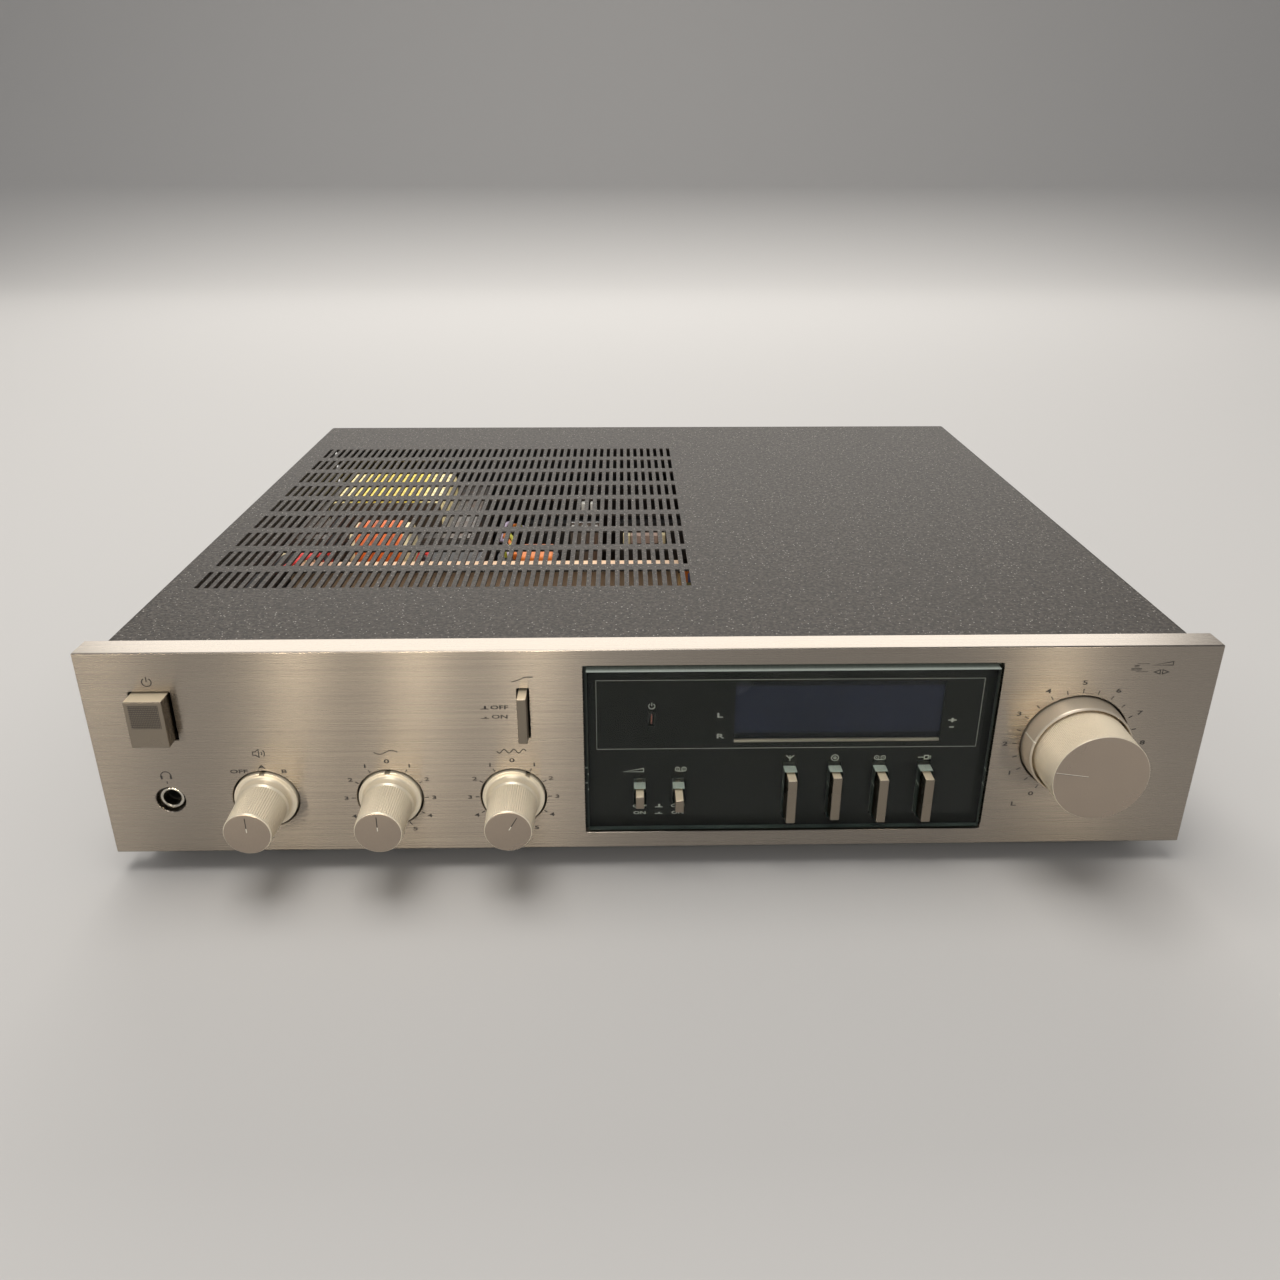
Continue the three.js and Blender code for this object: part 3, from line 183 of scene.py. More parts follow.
def arc(radius, centre, start, end, steps=6):
    # Rows (radius cos a, radius sin a) round a centre, from one angle in degrees to another
    turn = np.radians(np.linspace(start, end, steps + 1))
    return np.stack([centre[0] + radius * np.cos(turn), centre[1] + radius * np.sin(turn)], -1)


# The least that |n|^2 / 2 counts as at a line's corner, so that sharp corners don't shoot out
sharpest = 0.3
# A capital's size over its height, how much it is thickened over its height, and steps in a curve
font = {"size": 1.38, "weight": 0.028, "steps": 3}


def ribbon(path, width, levels, closed=False):
    # A flat line of the given width along a path of (across, up) points, between two y places;
    # at a corner the normal n is divided by |n|^2 / 2, so that the width stays even
    path = np.asarray(path, float)
    ahead = np.roll(path, -1, axis=0) - path
    if not closed:
        ahead[-1] = ahead[-2]
    behind = np.roll(ahead, 1, axis=0)
    if not closed:
        behind[0] = ahead[0]
    ahead = ahead / np.linalg.norm(ahead, axis=1, keepdims=True)
    behind = behind / np.linalg.norm(behind, axis=1, keepdims=True)
    normal = np.stack([-(ahead + behind)[:, 1], (ahead + behind)[:, 0]], -1)
    normal /= np.maximum(np.sum(normal * normal, axis=1, keepdims=True) / 2, sharpest)
    left = path + normal * width / 2
    right = path - normal * width / 2
    rings = np.zeros((len(path), 4, 3))
    for number, (side, place) in enumerate([(left, 0), (right, 0), (right, 1), (left, 1)]):
        rings[:, number, 0] = side[:, 0]
        rings[:, number, 1] = levels[place]
        rings[:, number, 2] = side[:, 1]
    return loft(rings, wrap=closed)


def lettering(text, height, across, up, levels, stretch, side):
    # A font curve filled and thickened, made a mesh, then centred on (across, up);
    # the side is -1 where it is read from behind
    curve = bpy.data.curves.new("lettering", "FONT")
    curve.body = text
    curve.size = height * font["size"]
    curve.extrude = abs(levels[1] - levels[0]) / 2
    curve.align_x = "CENTER"
    curve.offset = height * font["weight"]
    curve.resolution_u = font["steps"]
    holder = bpy.data.objects.new("lettering", curve)
    bpy.context.scene.collection.objects.link(holder)
    bpy.context.view_layer.update()
    mesh = bpy.data.meshes.new_from_object(holder.evaluated_get(bpy.context.evaluated_depsgraph_get()))
    points = np.zeros(len(mesh.vertices) * 3)
    mesh.vertices.foreach_get("co", points)
    points = points.reshape(-1, 3)
    faces = [(list(face.vertices), 0) for face in mesh.polygons]
    bpy.data.objects.remove(holder)
    bpy.data.meshes.remove(mesh)
    bpy.data.curves.remove(curve)
    placed = np.stack([
        across + side * points[:, 0] * stretch,
        np.full(len(points), sum(levels) / 2) + points[:, 2],
        up - height / 2 + points[:, 1],
    ], -1)
    return Shape(placed, faces)


def meshOf(name, shapes):
    # Points within a rounding error of each other joined, and faces turned outwards
    shape = together(shapes)
    faces = [row for rows, _ in shape.blocks for row in rows.tolist()]
    finishes = np.concatenate([np.full(len(rows), finish) for rows, finish in shape.blocks])
    mesh = bpy.data.meshes.new(name)
    mesh.from_pydata(shape.points * mm, [], faces)
    mesh.polygons.foreach_set("material_index", finishes.astype(np.int32))
    work = bmesh.new()
    work.from_mesh(mesh)
    bmesh.ops.remove_doubles(work, verts=work.verts, dist=2e-7)
    bmesh.ops.dissolve_degenerate(work, edges=work.edges, dist=1e-8)
    bmesh.ops.recalc_face_normals(work, faces=work.faces)
    work.to_mesh(mesh)
    work.free()
    return mesh


def cutBy(piece, shapes):
    # Exact difference; the cut faces keep the cutter's finish numbers
    cutter = bpy.data.objects.new("cutter", meshOf("cutter", shapes))
    for material in piece.data.materials:
        cutter.data.materials.append(material)
    bpy.context.scene.collection.objects.link(cutter)
    modifier = piece.modifiers.new("cut", "BOOLEAN")
    modifier.operation = "DIFFERENCE"
    modifier.solver = "EXACT"
    modifier.object = cutter
    bpy.context.view_layer.update()
    mesh = bpy.data.meshes.new_from_object(piece.evaluated_get(bpy.context.evaluated_depsgraph_get()))
    piece.modifiers.clear()
    piece.data = mesh
    bpy.data.objects.remove(cutter)


# Edges between faces that meet at more than this, in degrees, stay sharp
sharpAngle = 32


def addPiece(name, shapes, finishes, body="chassis", replaces=(), cutters=(), even=True):
    # A finished piece: its mesh, its materials, the body it rides on and the nodes it stands for
    piece = bpy.data.objects.new(name, meshOf(name, shapes))
    bpy.context.scene.collection.objects.link(piece)
    for finish in finishes:
        piece.data.materials.append(finish)
    if cutters:
        cutBy(piece, cutters)
    piece.data.polygons.foreach_set("use_smooth", np.ones(len(piece.data.polygons), bool))
    piece.data.set_sharp_from_angle(angle=math.radians(sharpAngle))
    if even:
        weights = piece.modifiers.new("even", "WEIGHTED_NORMAL")
        weights.keep_sharp = True
    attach(piece, body)
    if replaces:
        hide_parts(*replaces)
    return piece


def finishWhere(piece, rule, finish):
    # The faces of the first finish take another where rule(normals, centres in millimetres) holds
    polygons = piece.data.polygons
    normals, centres = np.zeros((2, len(polygons) * 3))
    polygons.foreach_get("normal", normals)
    polygons.foreach_get("center", centres)
    numbers = np.zeros(len(polygons), np.int32)
    polygons.foreach_get("material_index", numbers)
    held = rule(normals.reshape(-1, 3), centres.reshape(-1, 3) / mm)
    numbers[held & (numbers == 0)] = finish
    polygons.foreach_set("material_index", numbers)


def frontOf(place):
    # Faces that look forwards and lie in front of a place along Y
    return lambda normals, centres: (normals[:, 1] < -0.9) & (centres[:, 1] < place)


def topAbove(height):
    # Faces that look upwards and lie above a height
    return lambda normals, centres: (normals[:, 2] > 0.9) & (centres[:, 2] > height)


# Materials


class Link:
    # A socket's value; plus, minus and times on it add Math nodes
    def __init__(self, net, socket):
        self.net = net
        self.socket = socket

    def math(self, operation, *values):
        return self.net.add("Math", values, operation=operation)

    def __add__(self, other):
        return self.math("ADD", self, other)

    def __sub__(self, other):
        return self.math("SUBTRACT", self, other)

    def __mul__(self, other):
        return self.math("MULTIPLY", self, other)


class Net:
    # One material's nodes around its Principled shader
    def __init__(self, name):
        self.material = bpy.data.materials.new(name)
        self.material.use_nodes = True
        self.tree = self.material.node_tree
        self.shader = self.tree.nodes["Principled BSDF"]
        self.place = self.add("TexCoord", out="Object")

    def pick(self, sockets, key):
        if isinstance(key, int):
            return sockets[key]
        return next(socket for socket in sockets if socket.name == key and socket.enabled)

    def put(self, socket, value):
        if isinstance(value, Link):
            self.tree.links.new(value.socket, socket)
        elif socket.type == "RGBA" and len(value) == 3:
            socket.default_value = (*value, 1)
        else:
            socket.default_value = value

    def add(self, kind, inputs=(), out=0, **settings):
        # Any node: its settings first, then its sockets' values or links
        node = self.tree.nodes.new("ShaderNode" + kind)
        for key, value in settings.items():
            setattr(node, key, value)
        pairs = inputs.items() if isinstance(inputs, dict) else enumerate(inputs)
        for key, value in pairs:
            self.put(self.pick(node.inputs, key), value)
        return Link(self, self.pick(node.outputs, out))

    def stretched(self, scale):
        return self.add("VectorMath", [self.place, scale], operation="MULTIPLY")

    def noise(self, scale, detail=2.0, stretch=None, roughness=0.5):
        vector = self.stretched(stretch) if stretch else self.place
        inputs = {"Vector": vector, "Scale": scale, "Detail": detail, "Roughness": roughness}
        return self.add("TexNoise", inputs)

    def cells(self, scale, stretch=None, feature="F1"):
        vector = self.stretched(stretch) if stretch else self.place
        return self.add("TexVoronoi", {"Vector": vector, "Scale": scale}, out="Distance", feature=feature)

    def mixed(self, factor, first, second):
        inputs = {"Factor": factor, "A": first, "B": second}
        return self.add("Mix", inputs, out="Result", data_type="RGBA")

    def ranged(self, value, low, high, newLow=0.0, newHigh=1.0):
        return self.add("MapRange", [value, low, high, newLow, newHigh])

    def bumped(self, height, strength=0.2, distance=0.0002):
        inputs = {"Height": height, "Strength": strength, "Distance": distance}
        return self.add("Bump", inputs, out="Normal")

    def finish(self, **values):
        # Principled sockets by name, with an underscore for each space
        for key, value in values.items():
            self.put(self.shader.inputs[key.replace("_", " ")], value)
        return self.material


def shade(colour, factor):
    return tuple(min(1.0, channel * factor) for channel in colour)


# Champagne anodised aluminium: hairlines along X. The face's highlights stretch across them
brushedLook = {
    "colour": (0.33, 0.295, 0.255),
    "roughness": 0.27,
    "lipRoughness": 0.28,
    "anisotropic": 1.0,
    "turn": 0.25,
}


def brushedAluminium(name, colour, roughness, anisotropic, turn):
    net = Net(name)
    hair = net.noise(9.0, 3.0, (0.6, 300.0, 260.0), 0.65)
    wide = net.noise(3.0, 2.0, (1.0, 12.0, 12.0))
    tone = net.ranged(hair, 0.3, 0.7) * 0.7 + net.ranged(wide, 0.3, 0.7) * 0.3
    colour = net.mixed(tone, shade(colour, 0.955), shade(colour, 1.045))
    return net.finish(
        Base_Color=colour,
        Metallic=1.0,
        Roughness=net.ranged(hair, 0.25, 0.75, roughness - 0.035, roughness + 0.035),
        Anisotropic=anisotropic,
        Anisotropic_Rotation=turn,
        Normal=net.bumped(hair, 0.045, 0.00008),
    )


def satinMetal(name, colour, roughness, grain=2600.0, spread=0.05, bump=0.08, metallic=1.0):
    # Metal with a fine all-over grain and slow changes of tone
    net = Net(name)
    fine = net.noise(grain, 2.0)
    slow = net.noise(45.0, 3.0)
    tone = net.ranged(fine, 0.3, 0.7) * 0.5 + net.ranged(slow, 0.3, 0.7) * 0.5
    return net.finish(
        Base_Color=net.mixed(tone, shade(colour, 1 - spread), shade(colour, 1 + spread)),
        Metallic=metallic,
        Roughness=net.ranged(slow, 0.2, 0.8, roughness - 0.05, roughness + 0.05),
        Normal=net.bumped(fine, bump, 0.00005),
    )


def coverPaint(name, colour, speck):
    # Textured paint: rounded grains in relief, paler flecks, and slow rubbed patches
    net = Net(name)
    grain = net.noise(1500.0, 3.0, roughness=0.6)
    lump = net.cells(850.0)
    flecks = net.ranged(net.cells(800.0), 0.30, 0.12)
    chance = net.ranged(net.noise(900.0, 1.0), 0.52, 0.64)
    rubbed = net.ranged(net.noise(14.0, 4.0), 0.35, 0.75)
    coarse = net.noise(620.0, 2.0)
    base = net.mixed(net.ranged(grain, 0.38, 0.62), shade(colour, 0.35), shade(colour, 1.8))
    base = net.mixed(net.ranged(coarse, 0.42, 0.68) * 0.7, base, shade(colour, 3.0))
    base = net.mixed(rubbed * 0.3, base, shade(colour, 1.25))
    base = net.mixed(flecks * chance, base, speck)
    return net.finish(
        Base_Color=base,
        Roughness=net.ranged(grain, 0.3, 0.7, 0.5, 0.68),
        Specular_IOR_Level=0.3,
        Normal=net.bumped(grain * 0.5 + lump, 0.5, 0.00025),
    )


def mouldedPlastic(name, colour, roughness, grain=1800.0, bump=0.1, specular=0.5, dust=0.05):
    # Plastic or paint with a fine grain, uneven gloss and a little dust
    net = Net(name)
    fine = net.noise(grain, 3.0)
    slow = net.noise(38.0, 4.0)
    pale = tuple(channel * 0.8 + dust for channel in colour)
    return net.finish(
        Base_Color=net.mixed(net.ranged(slow, 0.45, 0.85) * 0.35, colour, pale),
        Roughness=net.ranged(slow, 0.2, 0.8, roughness - 0.06, roughness + 0.06),
        Specular_IOR_Level=specular,
        Normal=net.bumped(fine, bump, 0.00008),
    )


def clearPane(name, tint):
    # Acrylic; lamps reach what stands behind it because shadow rays pass straight through
    net = Net(name)
    smear = net.noise(60.0, 4.0)
    net.finish(
        Base_Color=net.mixed(smear, tint, shade(tint, 0.97)),
        Roughness=net.ranged(smear, 0.3, 0.8, 0.0, 0.012),
        IOR=1.49,
        Specular_Tint=(0.2, 0.22, 0.22),
        Transmission_Weight=1.0,
    )
    output = net.tree.nodes["Material Output"]
    shadow = net.add("LightPath", out="Is Shadow Ray")
    through = net.add("BsdfTransparent", [tint])
    surface = Link(net, net.shader.outputs[0])
    net.put(output.inputs["Surface"], net.add("MixShader", {0: shadow, 1: surface, 2: through}))
    return net.material


def frostedEdge(name, colour, pale, levels):
    # The pane's sawn edges and slot walls: dark green, with painted light that makes them pale on the faces
    # at the given heights, where the light falls
    net = Net(name)
    saw = net.noise(30.0, 2.0, (60.0, 4.0, 60.0))
    up = net.add("SeparateXYZ", [net.place], out="Z")
    # A band round each height where the colour goes pale: painted light
    lit = 0.0
    for level in levels:
        apart = up - level * mm
        lit = net.ranged(apart.math("ABSOLUTE", apart), 0.45 * mm, 0.25 * mm) + lit
    base = net.mixed(net.ranged(lit, 0.0, 1.0), colour, pale)
    return net.finish(
        Base_Color=net.mixed(net.ranged(saw, 0.3, 0.7) * 0.15, base, shade(colour, 0.5)),
        Roughness=net.ranged(saw, 0.2, 0.8, 0.35, 0.5),
        Normal=net.bumped(saw, 0.15, 0.0001),
    )


def tubeGlass(name, colour, mesh, bottom, top):
    # An unlit display: deep blue between two heights, with painted shadow below and above them, and the
    # grid's fine wires across it
    net = Net(name)
    up = net.add("SeparateXYZ", [net.place], out="Z")
    # Outside the two heights the colour falls to a fifth of itself: painted shadow
    lit = net.ranged(up, bottom * mm, (bottom + 1.2) * mm) * net.ranged(up, top * mm, (top - 1.2) * mm)
    wires = net.add("TexWave", {"Vector": net.place, "Scale": 260.0}, bands_direction="X")
    slow = net.noise(22.0, 2.0)
    base = net.mixed(net.ranged(slow, 0.3, 0.7), shade(colour, 0.85), shade(colour, 1.2))
    base = net.mixed(net.ranged(wires, 0.8, 1.0) * 0.25, base, mesh)
    return net.finish(
        Base_Color=net.mixed(lit, shade(colour, 0.2), base),
        Roughness=net.ranged(slow, 0.3, 0.7, 0.22, 0.3),
        Specular_IOR_Level=0.2,
    )


def boardPaper(name, colour, track):
    # Brown laminate with paler copper tracks under the varnish
    net = Net(name)
    tracks = net.cells(170.0, (1.0, 0.45, 1.0), "DISTANCE_TO_EDGE")
    grain = net.noise(700.0, 3.0)
    base = net.mixed(net.ranged(grain, 0.3, 0.7), shade(colour, 0.85), shade(colour, 1.15))
    return net.finish(
        Base_Color=net.mixed(net.ranged(tracks, 0.12, 0.06), base, track),
        Roughness=net.ranged(grain, 0.2, 0.8, 0.35, 0.5),
        Normal=net.bumped(tracks, 0.1, 0.0001),
    )


def woundTape(name, colour, pale, middleX, plain, direction):
    # Turns of tape: each edge a thin darker line, and paler where it is drawn over the coil's sides
    net = Net(name)
    waves = {"Vector": net.place, "Scale": 34.0, "Distortion": 0.4}
    turns = net.add("TexWave", waves, bands_direction=direction)
    slow = net.noise(50.0, 3.0)
    edge = net.ranged(turns, 0.12, 0.0)
    across = net.add("SeparateXYZ", [net.place], out="X") - middleX * mm
    side = net.ranged(across.math("ABSOLUTE", across), plain * mm, (plain + 8) * mm)
    base = net.mixed(net.ranged(slow, 0.3, 0.7), shade(colour, 0.85), shade(colour, 1.1))
    base = net.mixed(side * net.ranged(slow, 0.2, 0.6, 0.5, 1.0), base, pale)
    return net.finish(
        Base_Color=net.mixed(edge * 0.6, base, shade(colour, 0.3)),
        Roughness=net.ranged(slow, 0.2, 0.8, 0.3, 0.45),
        Normal=net.bumped(turns, 0.3, 0.0003),
    )


def laminations(name, colour):
    # Stacked sheets seen on edge, varnished, with rust in the joints
    net = Net(name)
    waves = {"Vector": net.place, "Scale": 300.0, "Distortion": 0.3}
    sheets = net.add("TexWave", waves, bands_direction="Z")
    rust = net.ranged(net.noise(90.0, 4.0), 0.5, 0.75)
    base = net.mixed(sheets, shade(colour, 0.6), shade(colour, 1.3))
    return net.finish(
        Base_Color=net.mixed(rust * 0.6, base, (0.16, 0.07, 0.03)),
        Metallic=0.55,
        Roughness=net.ranged(rust, 0.0, 1.0, 0.4, 0.7),
        Normal=net.bumped(sheets, 0.35, 0.0002),
    )


def shrinkSleeve(name, colour, stripe):
    # A printed sleeve: a pale band down the side, glossy over small wrinkles
    net = Net(name)
    wrinkle = net.noise(160.0, 3.0, (1.0, 1.0, 0.3))
    band = net.ranged(net.noise(26.0, 1.0, (1.0, 1.0, 0.0)), 0.57, 0.6)
    base = net.mixed(band * 0.8, colour, stripe)
    return net.finish(
        Base_Color=base,
        Roughness=net.ranged(wrinkle, 0.2, 0.8, 0.25, 0.4),
        Normal=net.bumped(wrinkle, 0.15, 0.0003),
    )


def twoFinishes(name, elsewhere, plate, height, front, back):
    # Black, and passivated zinc on the plate that stands above a height between two places
    net = Net(name)
    fine = net.noise(1200.0, 3.0)
    slow = net.noise(24.0, 4.0)
    up = net.add("SeparateXYZ", [net.place], out="Z")
    along = net.add("SeparateXYZ", [net.place], out="Y")
    upper = net.ranged(up, (height - 0.2) * mm, height * mm)
    behind = net.ranged(along, (front - 0.2) * mm, front * mm)
    before = net.ranged(along, (back + 0.2) * mm, back * mm)
    upper = upper * behind * before
    zincTone = net.mixed(net.ranged(slow, 0.3, 0.7), shade(plate, 0.8), shade(plate, 1.2))
    return net.finish(
        Base_Color=net.mixed(upper, elsewhere, zincTone),
        Metallic=upper * 0.3,
        Roughness=net.ranged(slow, 0.2, 0.8, 0.42, 0.55),
        Normal=net.bumped(fine, 0.2, 0.00008),
    )


brushed = brushedAluminium(
    "brushed_aluminium", brushedLook["colour"], brushedLook["roughness"],
    brushedLook["anisotropic"], brushedLook["turn"],
)
brushedEdge = brushedAluminium("brushed_edge", brushedLook["colour"], brushedLook["lipRoughness"], 0.0, 0.0)
turnedFace = satinMetal("turned_aluminium", (0.40, 0.335, 0.275), 0.30, 1900.0, 0.04, 0.05)
# The knurled sides are the metal of the turned faces, made paler and less metallic as painted sheen where
# their ribs catch the light
knurledSideSheen = satinMetal("knurled_aluminium_sheen", (1.0, 0.88, 0.69), 0.34, 2200.0, 0.04, 0.02, 0.4)
ringMetal = satinMetal("ring_aluminium", (0.74, 0.65, 0.52), 0.38, 1900.0, 0.04, 0.05, 0.6)
# Painted highlight: a pale, mostly diffuse colour for cut lines that catch the light
paintedHighlight = satinMetal("painted_highlight", (1.0, 0.93, 0.80), 0.3, metallic=0.3)
# The button caps' metal made paler for their upward faces: a painted highlight
buttonTopHighlight = satinMetal("button_top_highlight", (0.86, 0.74, 0.54), 0.35, 2400.0, 0.05, 0.05, 0.3)
buttonMetal = satinMetal("button_aluminium", (0.26, 0.225, 0.18), 0.28, 2400.0, 0.05, 0.05)
cover = coverPaint("cover_paint", (0.037, 0.032, 0.027), (0.5, 0.47, 0.42))
zinc = satinMetal("zinc_steel", (0.42, 0.41, 0.38), 0.42, 900.0, 0.12, 0.05)
shaftSteel = satinMetal("shaft_steel", (0.45, 0.44, 0.42), 0.3)
blackSteel = mouldedPlastic("black_steel", (0.018, 0.017, 0.016), 0.5, 1200.0, 0.25)
rubber = mouldedPlastic("foot_plastic", (0.014, 0.014, 0.014), 0.62, 1500.0, 0.3, 0.35)
paneClear = clearPane("window_pane", (0.90, 0.94, 0.92))
maskPrint = mouldedPlastic("mask_print", (0.0038, 0.0042, 0.004), 0.5, 900.0, 0.03, 0.1, 0.004)
board = boardPaper("circuit_board", (0.28, 0.15, 0.06), (0.42, 0.27, 0.12))
redLens = mouldedPlastic("indicator_red", (0.09, 0.025, 0.02), 0.2, 900.0, 0.02)
nickel = satinMetal("plated_brass", (0.58, 0.55, 0.48), 0.22)
blackPlastic = mouldedPlastic("black_plastic", (0.016, 0.016, 0.016), 0.42)
passivated = satinMetal("switch_metal", (0.45, 0.42, 0.33), 0.38, 700.0, 0.12)
coreSteel = laminations("laminated_steel", (0.16, 0.15, 0.14))
tape = woundTape(
    "yellow_tape", (1.0, 0.74, 0.09), (1.0, 0.86, 0.48), middle("transformer_winding")[0], 16.0, "Y",
)
orangeTape = woundTape(
    "orange_tape", (0.85, 0.17, 0.03), (0.9, 0.3, 0.1), middle("speaker_relay")[0], 9.0, "X",
)
sleeve = shrinkSleeve("capacitor_sleeve", (0.015, 0.017, 0.026), (0.10, 0.10, 0.11))
blackAnodised = satinMetal("black_anodised", (0.03, 0.03, 0.032), 0.42, 900.0, 0.2, 0.1)
plateFrom = {"height": 14.0, "front": -37.0, "back": -22.0}
trayFinish = twoFinishes("tray_finish", (0.018, 0.017, 0.016), (0.8, 0.56, 0.37), **plateFrom)
# Dark print on the panel and knobs; on the volume knob it is also painted shadow beside the pointer's painted
# highlight
darkPrintAndShadow = mouldedPlastic("dark_print_and_shadow", (0.03, 0.026, 0.022), 0.55, 2500.0, 0.02)
palePrint = mouldedPlastic("pale_print", (0.31, 0.32, 0.30), 0.6, 2500.0, 0.02)
whiteInsert = mouldedPlastic("white_insert", (0.7, 0.69, 0.64), 0.4)
redInsert = mouldedPlastic("red_insert", (0.5, 0.03, 0.025), 0.4)
# Painted shade down the headphone socket's bore
boreShade = mouldedPlastic("bore_shade", (0.004, 0.004, 0.004), 0.7)
tanLedge = mouldedPlastic("tan_ledge", (0.22, 0.19, 0.16), 0.5)
# Painted shade on the ground between the power button's studs
groove = mouldedPlastic("button_groove_shade", (0.09, 0.075, 0.06), 0.5)
print("materials made")

# Front panel: a channel with rounded front edges, cut for the window and the controls
panel = {
    "edge": 0.6,
    "endChamfer": 0.35,
    "plate": 3.0,
    "lip": 3.5,
    "holeChamfer": 0.22,
    "windowLap": 2.4,
    "knobHole": 12.7,
    "ringHole": 20.7,
    "socketHole": 5.6,
    "powerHole": (15.2, 20.7),
    "filterHole": (4.5, 21.2),
}


def axisOf(node):
    centre = middle(node)
    return float(centre[0]), float(centre[2])


knobs = {name: axisOf(name + "_shaft") for name in ("speakers", "bass", "treble")}
volumeX, volumeZ = axisOf("volume_shaft")
powerX, upperZ = axisOf("power_button")
filterX = axisOf("low_cut_button")[0]
lowerZ = knobs["bass"][1]
selectors = {name: axisOf(name + "_button")[0] for name in ("tuner", "phono", "tape", "aux")}
modes = {name: axisOf(name + "_button")[0] for name in ("loudness", "adaptor")}
maskLow, maskHigh = corners("window_mask")
windowLow = maskLow + panel["windowLap"]
windowHigh = maskHigh - panel["windowLap"]


def hole(outline, x, z):
    # A cutter that flares by the chamfer where it meets the front face
    chamfer = panel["holeChamfer"]
    wide = inset(outline, -chamfer)
    back = faceY + panel["plate"]
    levels = [(faceY - 1, wide), (faceY, wide), (faceY + chamfer, outline), (back + 1, outline)]
    return layers(levels, "y", (x, 0, z))


def channelSection():
    # The channel across its length, from the bottom edge of the face round to the top one
    front, back = panelLow[1], panelHigh[1]
    bottom, top = panelLow[2], panelHigh[2]
    edge, lip = panel["edge"], panel["lip"]
    inner = front + panel["plate"]
    return np.vstack([
        arc(edge, (front + edge, bottom + edge), 180, 270),
        [(back, bottom), (back, bottom + lip), (inner, bottom + lip)],
        [(inner, top - lip), (back, top - lip), (back, top)],
        arc(edge, (front + edge, top - edge), 90, 180),
    ])


def addPanel():
    section = channelSection()
    left, right = panelLow[0], panelHigh[0]
    chamfer = panel["endChamfer"]
    small = inset(section, chamfer)
    levels = [(left, small), (left + chamfer, section), (right - chamfer, section), (right, small)]
    windowSize = (windowHigh - windowLow)[[0, 2]]
    windowMiddle = (windowHigh + windowLow) / 2
    cutters = [
        hole(roundRect(*windowSize, 0.4), windowMiddle[0], windowMiddle[2]),
        *[hole(circle(panel["knobHole"], 120), x, z) for x, z in knobs.values()],
        hole(circle(panel["ringHole"], 160), volumeX, volumeZ),
        hole(circle(panel["socketHole"], 72), powerX, lowerZ),
        hole(roundRect(*panel["powerHole"], 0.5), powerX, upperZ),
        hole(roundRect(*panel["filterHole"], 0.4), filterX, upperZ),
    ]
    piece = addPiece(
        "front_channel", [layers(levels, "x")], [brushed, brushedEdge],
        replaces=["front_panel"], cutters=cutters,
    )
    finishWhere(piece, lambda normals, centres: abs(normals[:, 2]) > 0.97, 1)


addPanel()
print("panel made")

# Window: a pane that stands a little proud, with a flange behind the panel and slots for the buttons
window = {
    "sideGap": 1.1,
    "edgeGap": 1.7,
    "proudEdge": 0.35,
    "flangeDepth": 3.0,
    "slotSide": 0.65,
    "slotEnd": 0.9,
    "ledge": 1.0,
    "slitWidth": 0.7,
    "tubeMargin": 4.0,
    "tubeEdge": 1.2,
    # How far the painted shadow reaches in from the tube's bottom and top
    "shadowBottom": 7.0,
    "shadowTop": 6.0,
}
slotTops = [corners(name + "_button")[1][2] + window["slotEnd"] for name in ("tuner", "loudness")]
# The edge walls take painted light at the pane's top face and at the slots' top walls
paneEdge = frostedEdge(
    "window_edge_painted_light", (0.02, 0.035, 0.03), (0.43, 0.49, 0.44),
    [windowHigh[2] - window["edgeGap"], *slotTops],
)
tubeLow, tubeHigh = corners("display_tube")
display = tubeGlass(
    "display_glass", (0.009, 0.011, 0.026), (0.03, 0.033, 0.05),
    tubeLow[2] + window["shadowBottom"], tubeHigh[2] - window["shadowTop"],
)


def addWindow():
    low, high = corners("window_glass")
    centre = (low + high) / 2
    size = (windowHigh - windowLow)[[0, 2]] - 2 * np.array([window["sideGap"], window["edgeGap"]])
    outline = roundRect(*size, 0.4)
    flangeOutline = roundRect(*(high - low)[[0, 2]], 0.6)
    edge = window["proudEdge"]
    back = high[1]
    flangeFront = back - window["flangeDepth"]
    front = low[1]
    # The front face is clear; the bevel, the sides and the flange are frosted
    grid = [
        (front, inset(outline, edge)), (front + edge, outline), (flangeFront, outline),
        (flangeFront + 0.01, flangeOutline), (back, flangeOutline),
    ]
    pane = layers(grid, "y", (centre[0], 0, centre[2]), finish=1)
    pane.blocks = [pane.blocks[0]] + [(end[0], 0) for end in pane.blocks[1:]]
    slots = []
    for name, x in {**selectors, **modes}.items():
        capLow, capHigh = corners(name + "_button")
        width = capHigh[0] - capLow[0] + 2 * window["slotSide"]
        height = capHigh[2] - capLow[2] + 2 * window["slotEnd"]
        outline = roundRect(width, height, 0.3)
        slots.append(layers([(front - 1, outline), (back + 1, outline)], "y", (x, 0, lowerZ), finish=1))
    addPiece(
        "window_pane", [pane], [paneClear, paneEdge],
        replaces=["window_glass"], cutters=slots,
    )


addWindow()


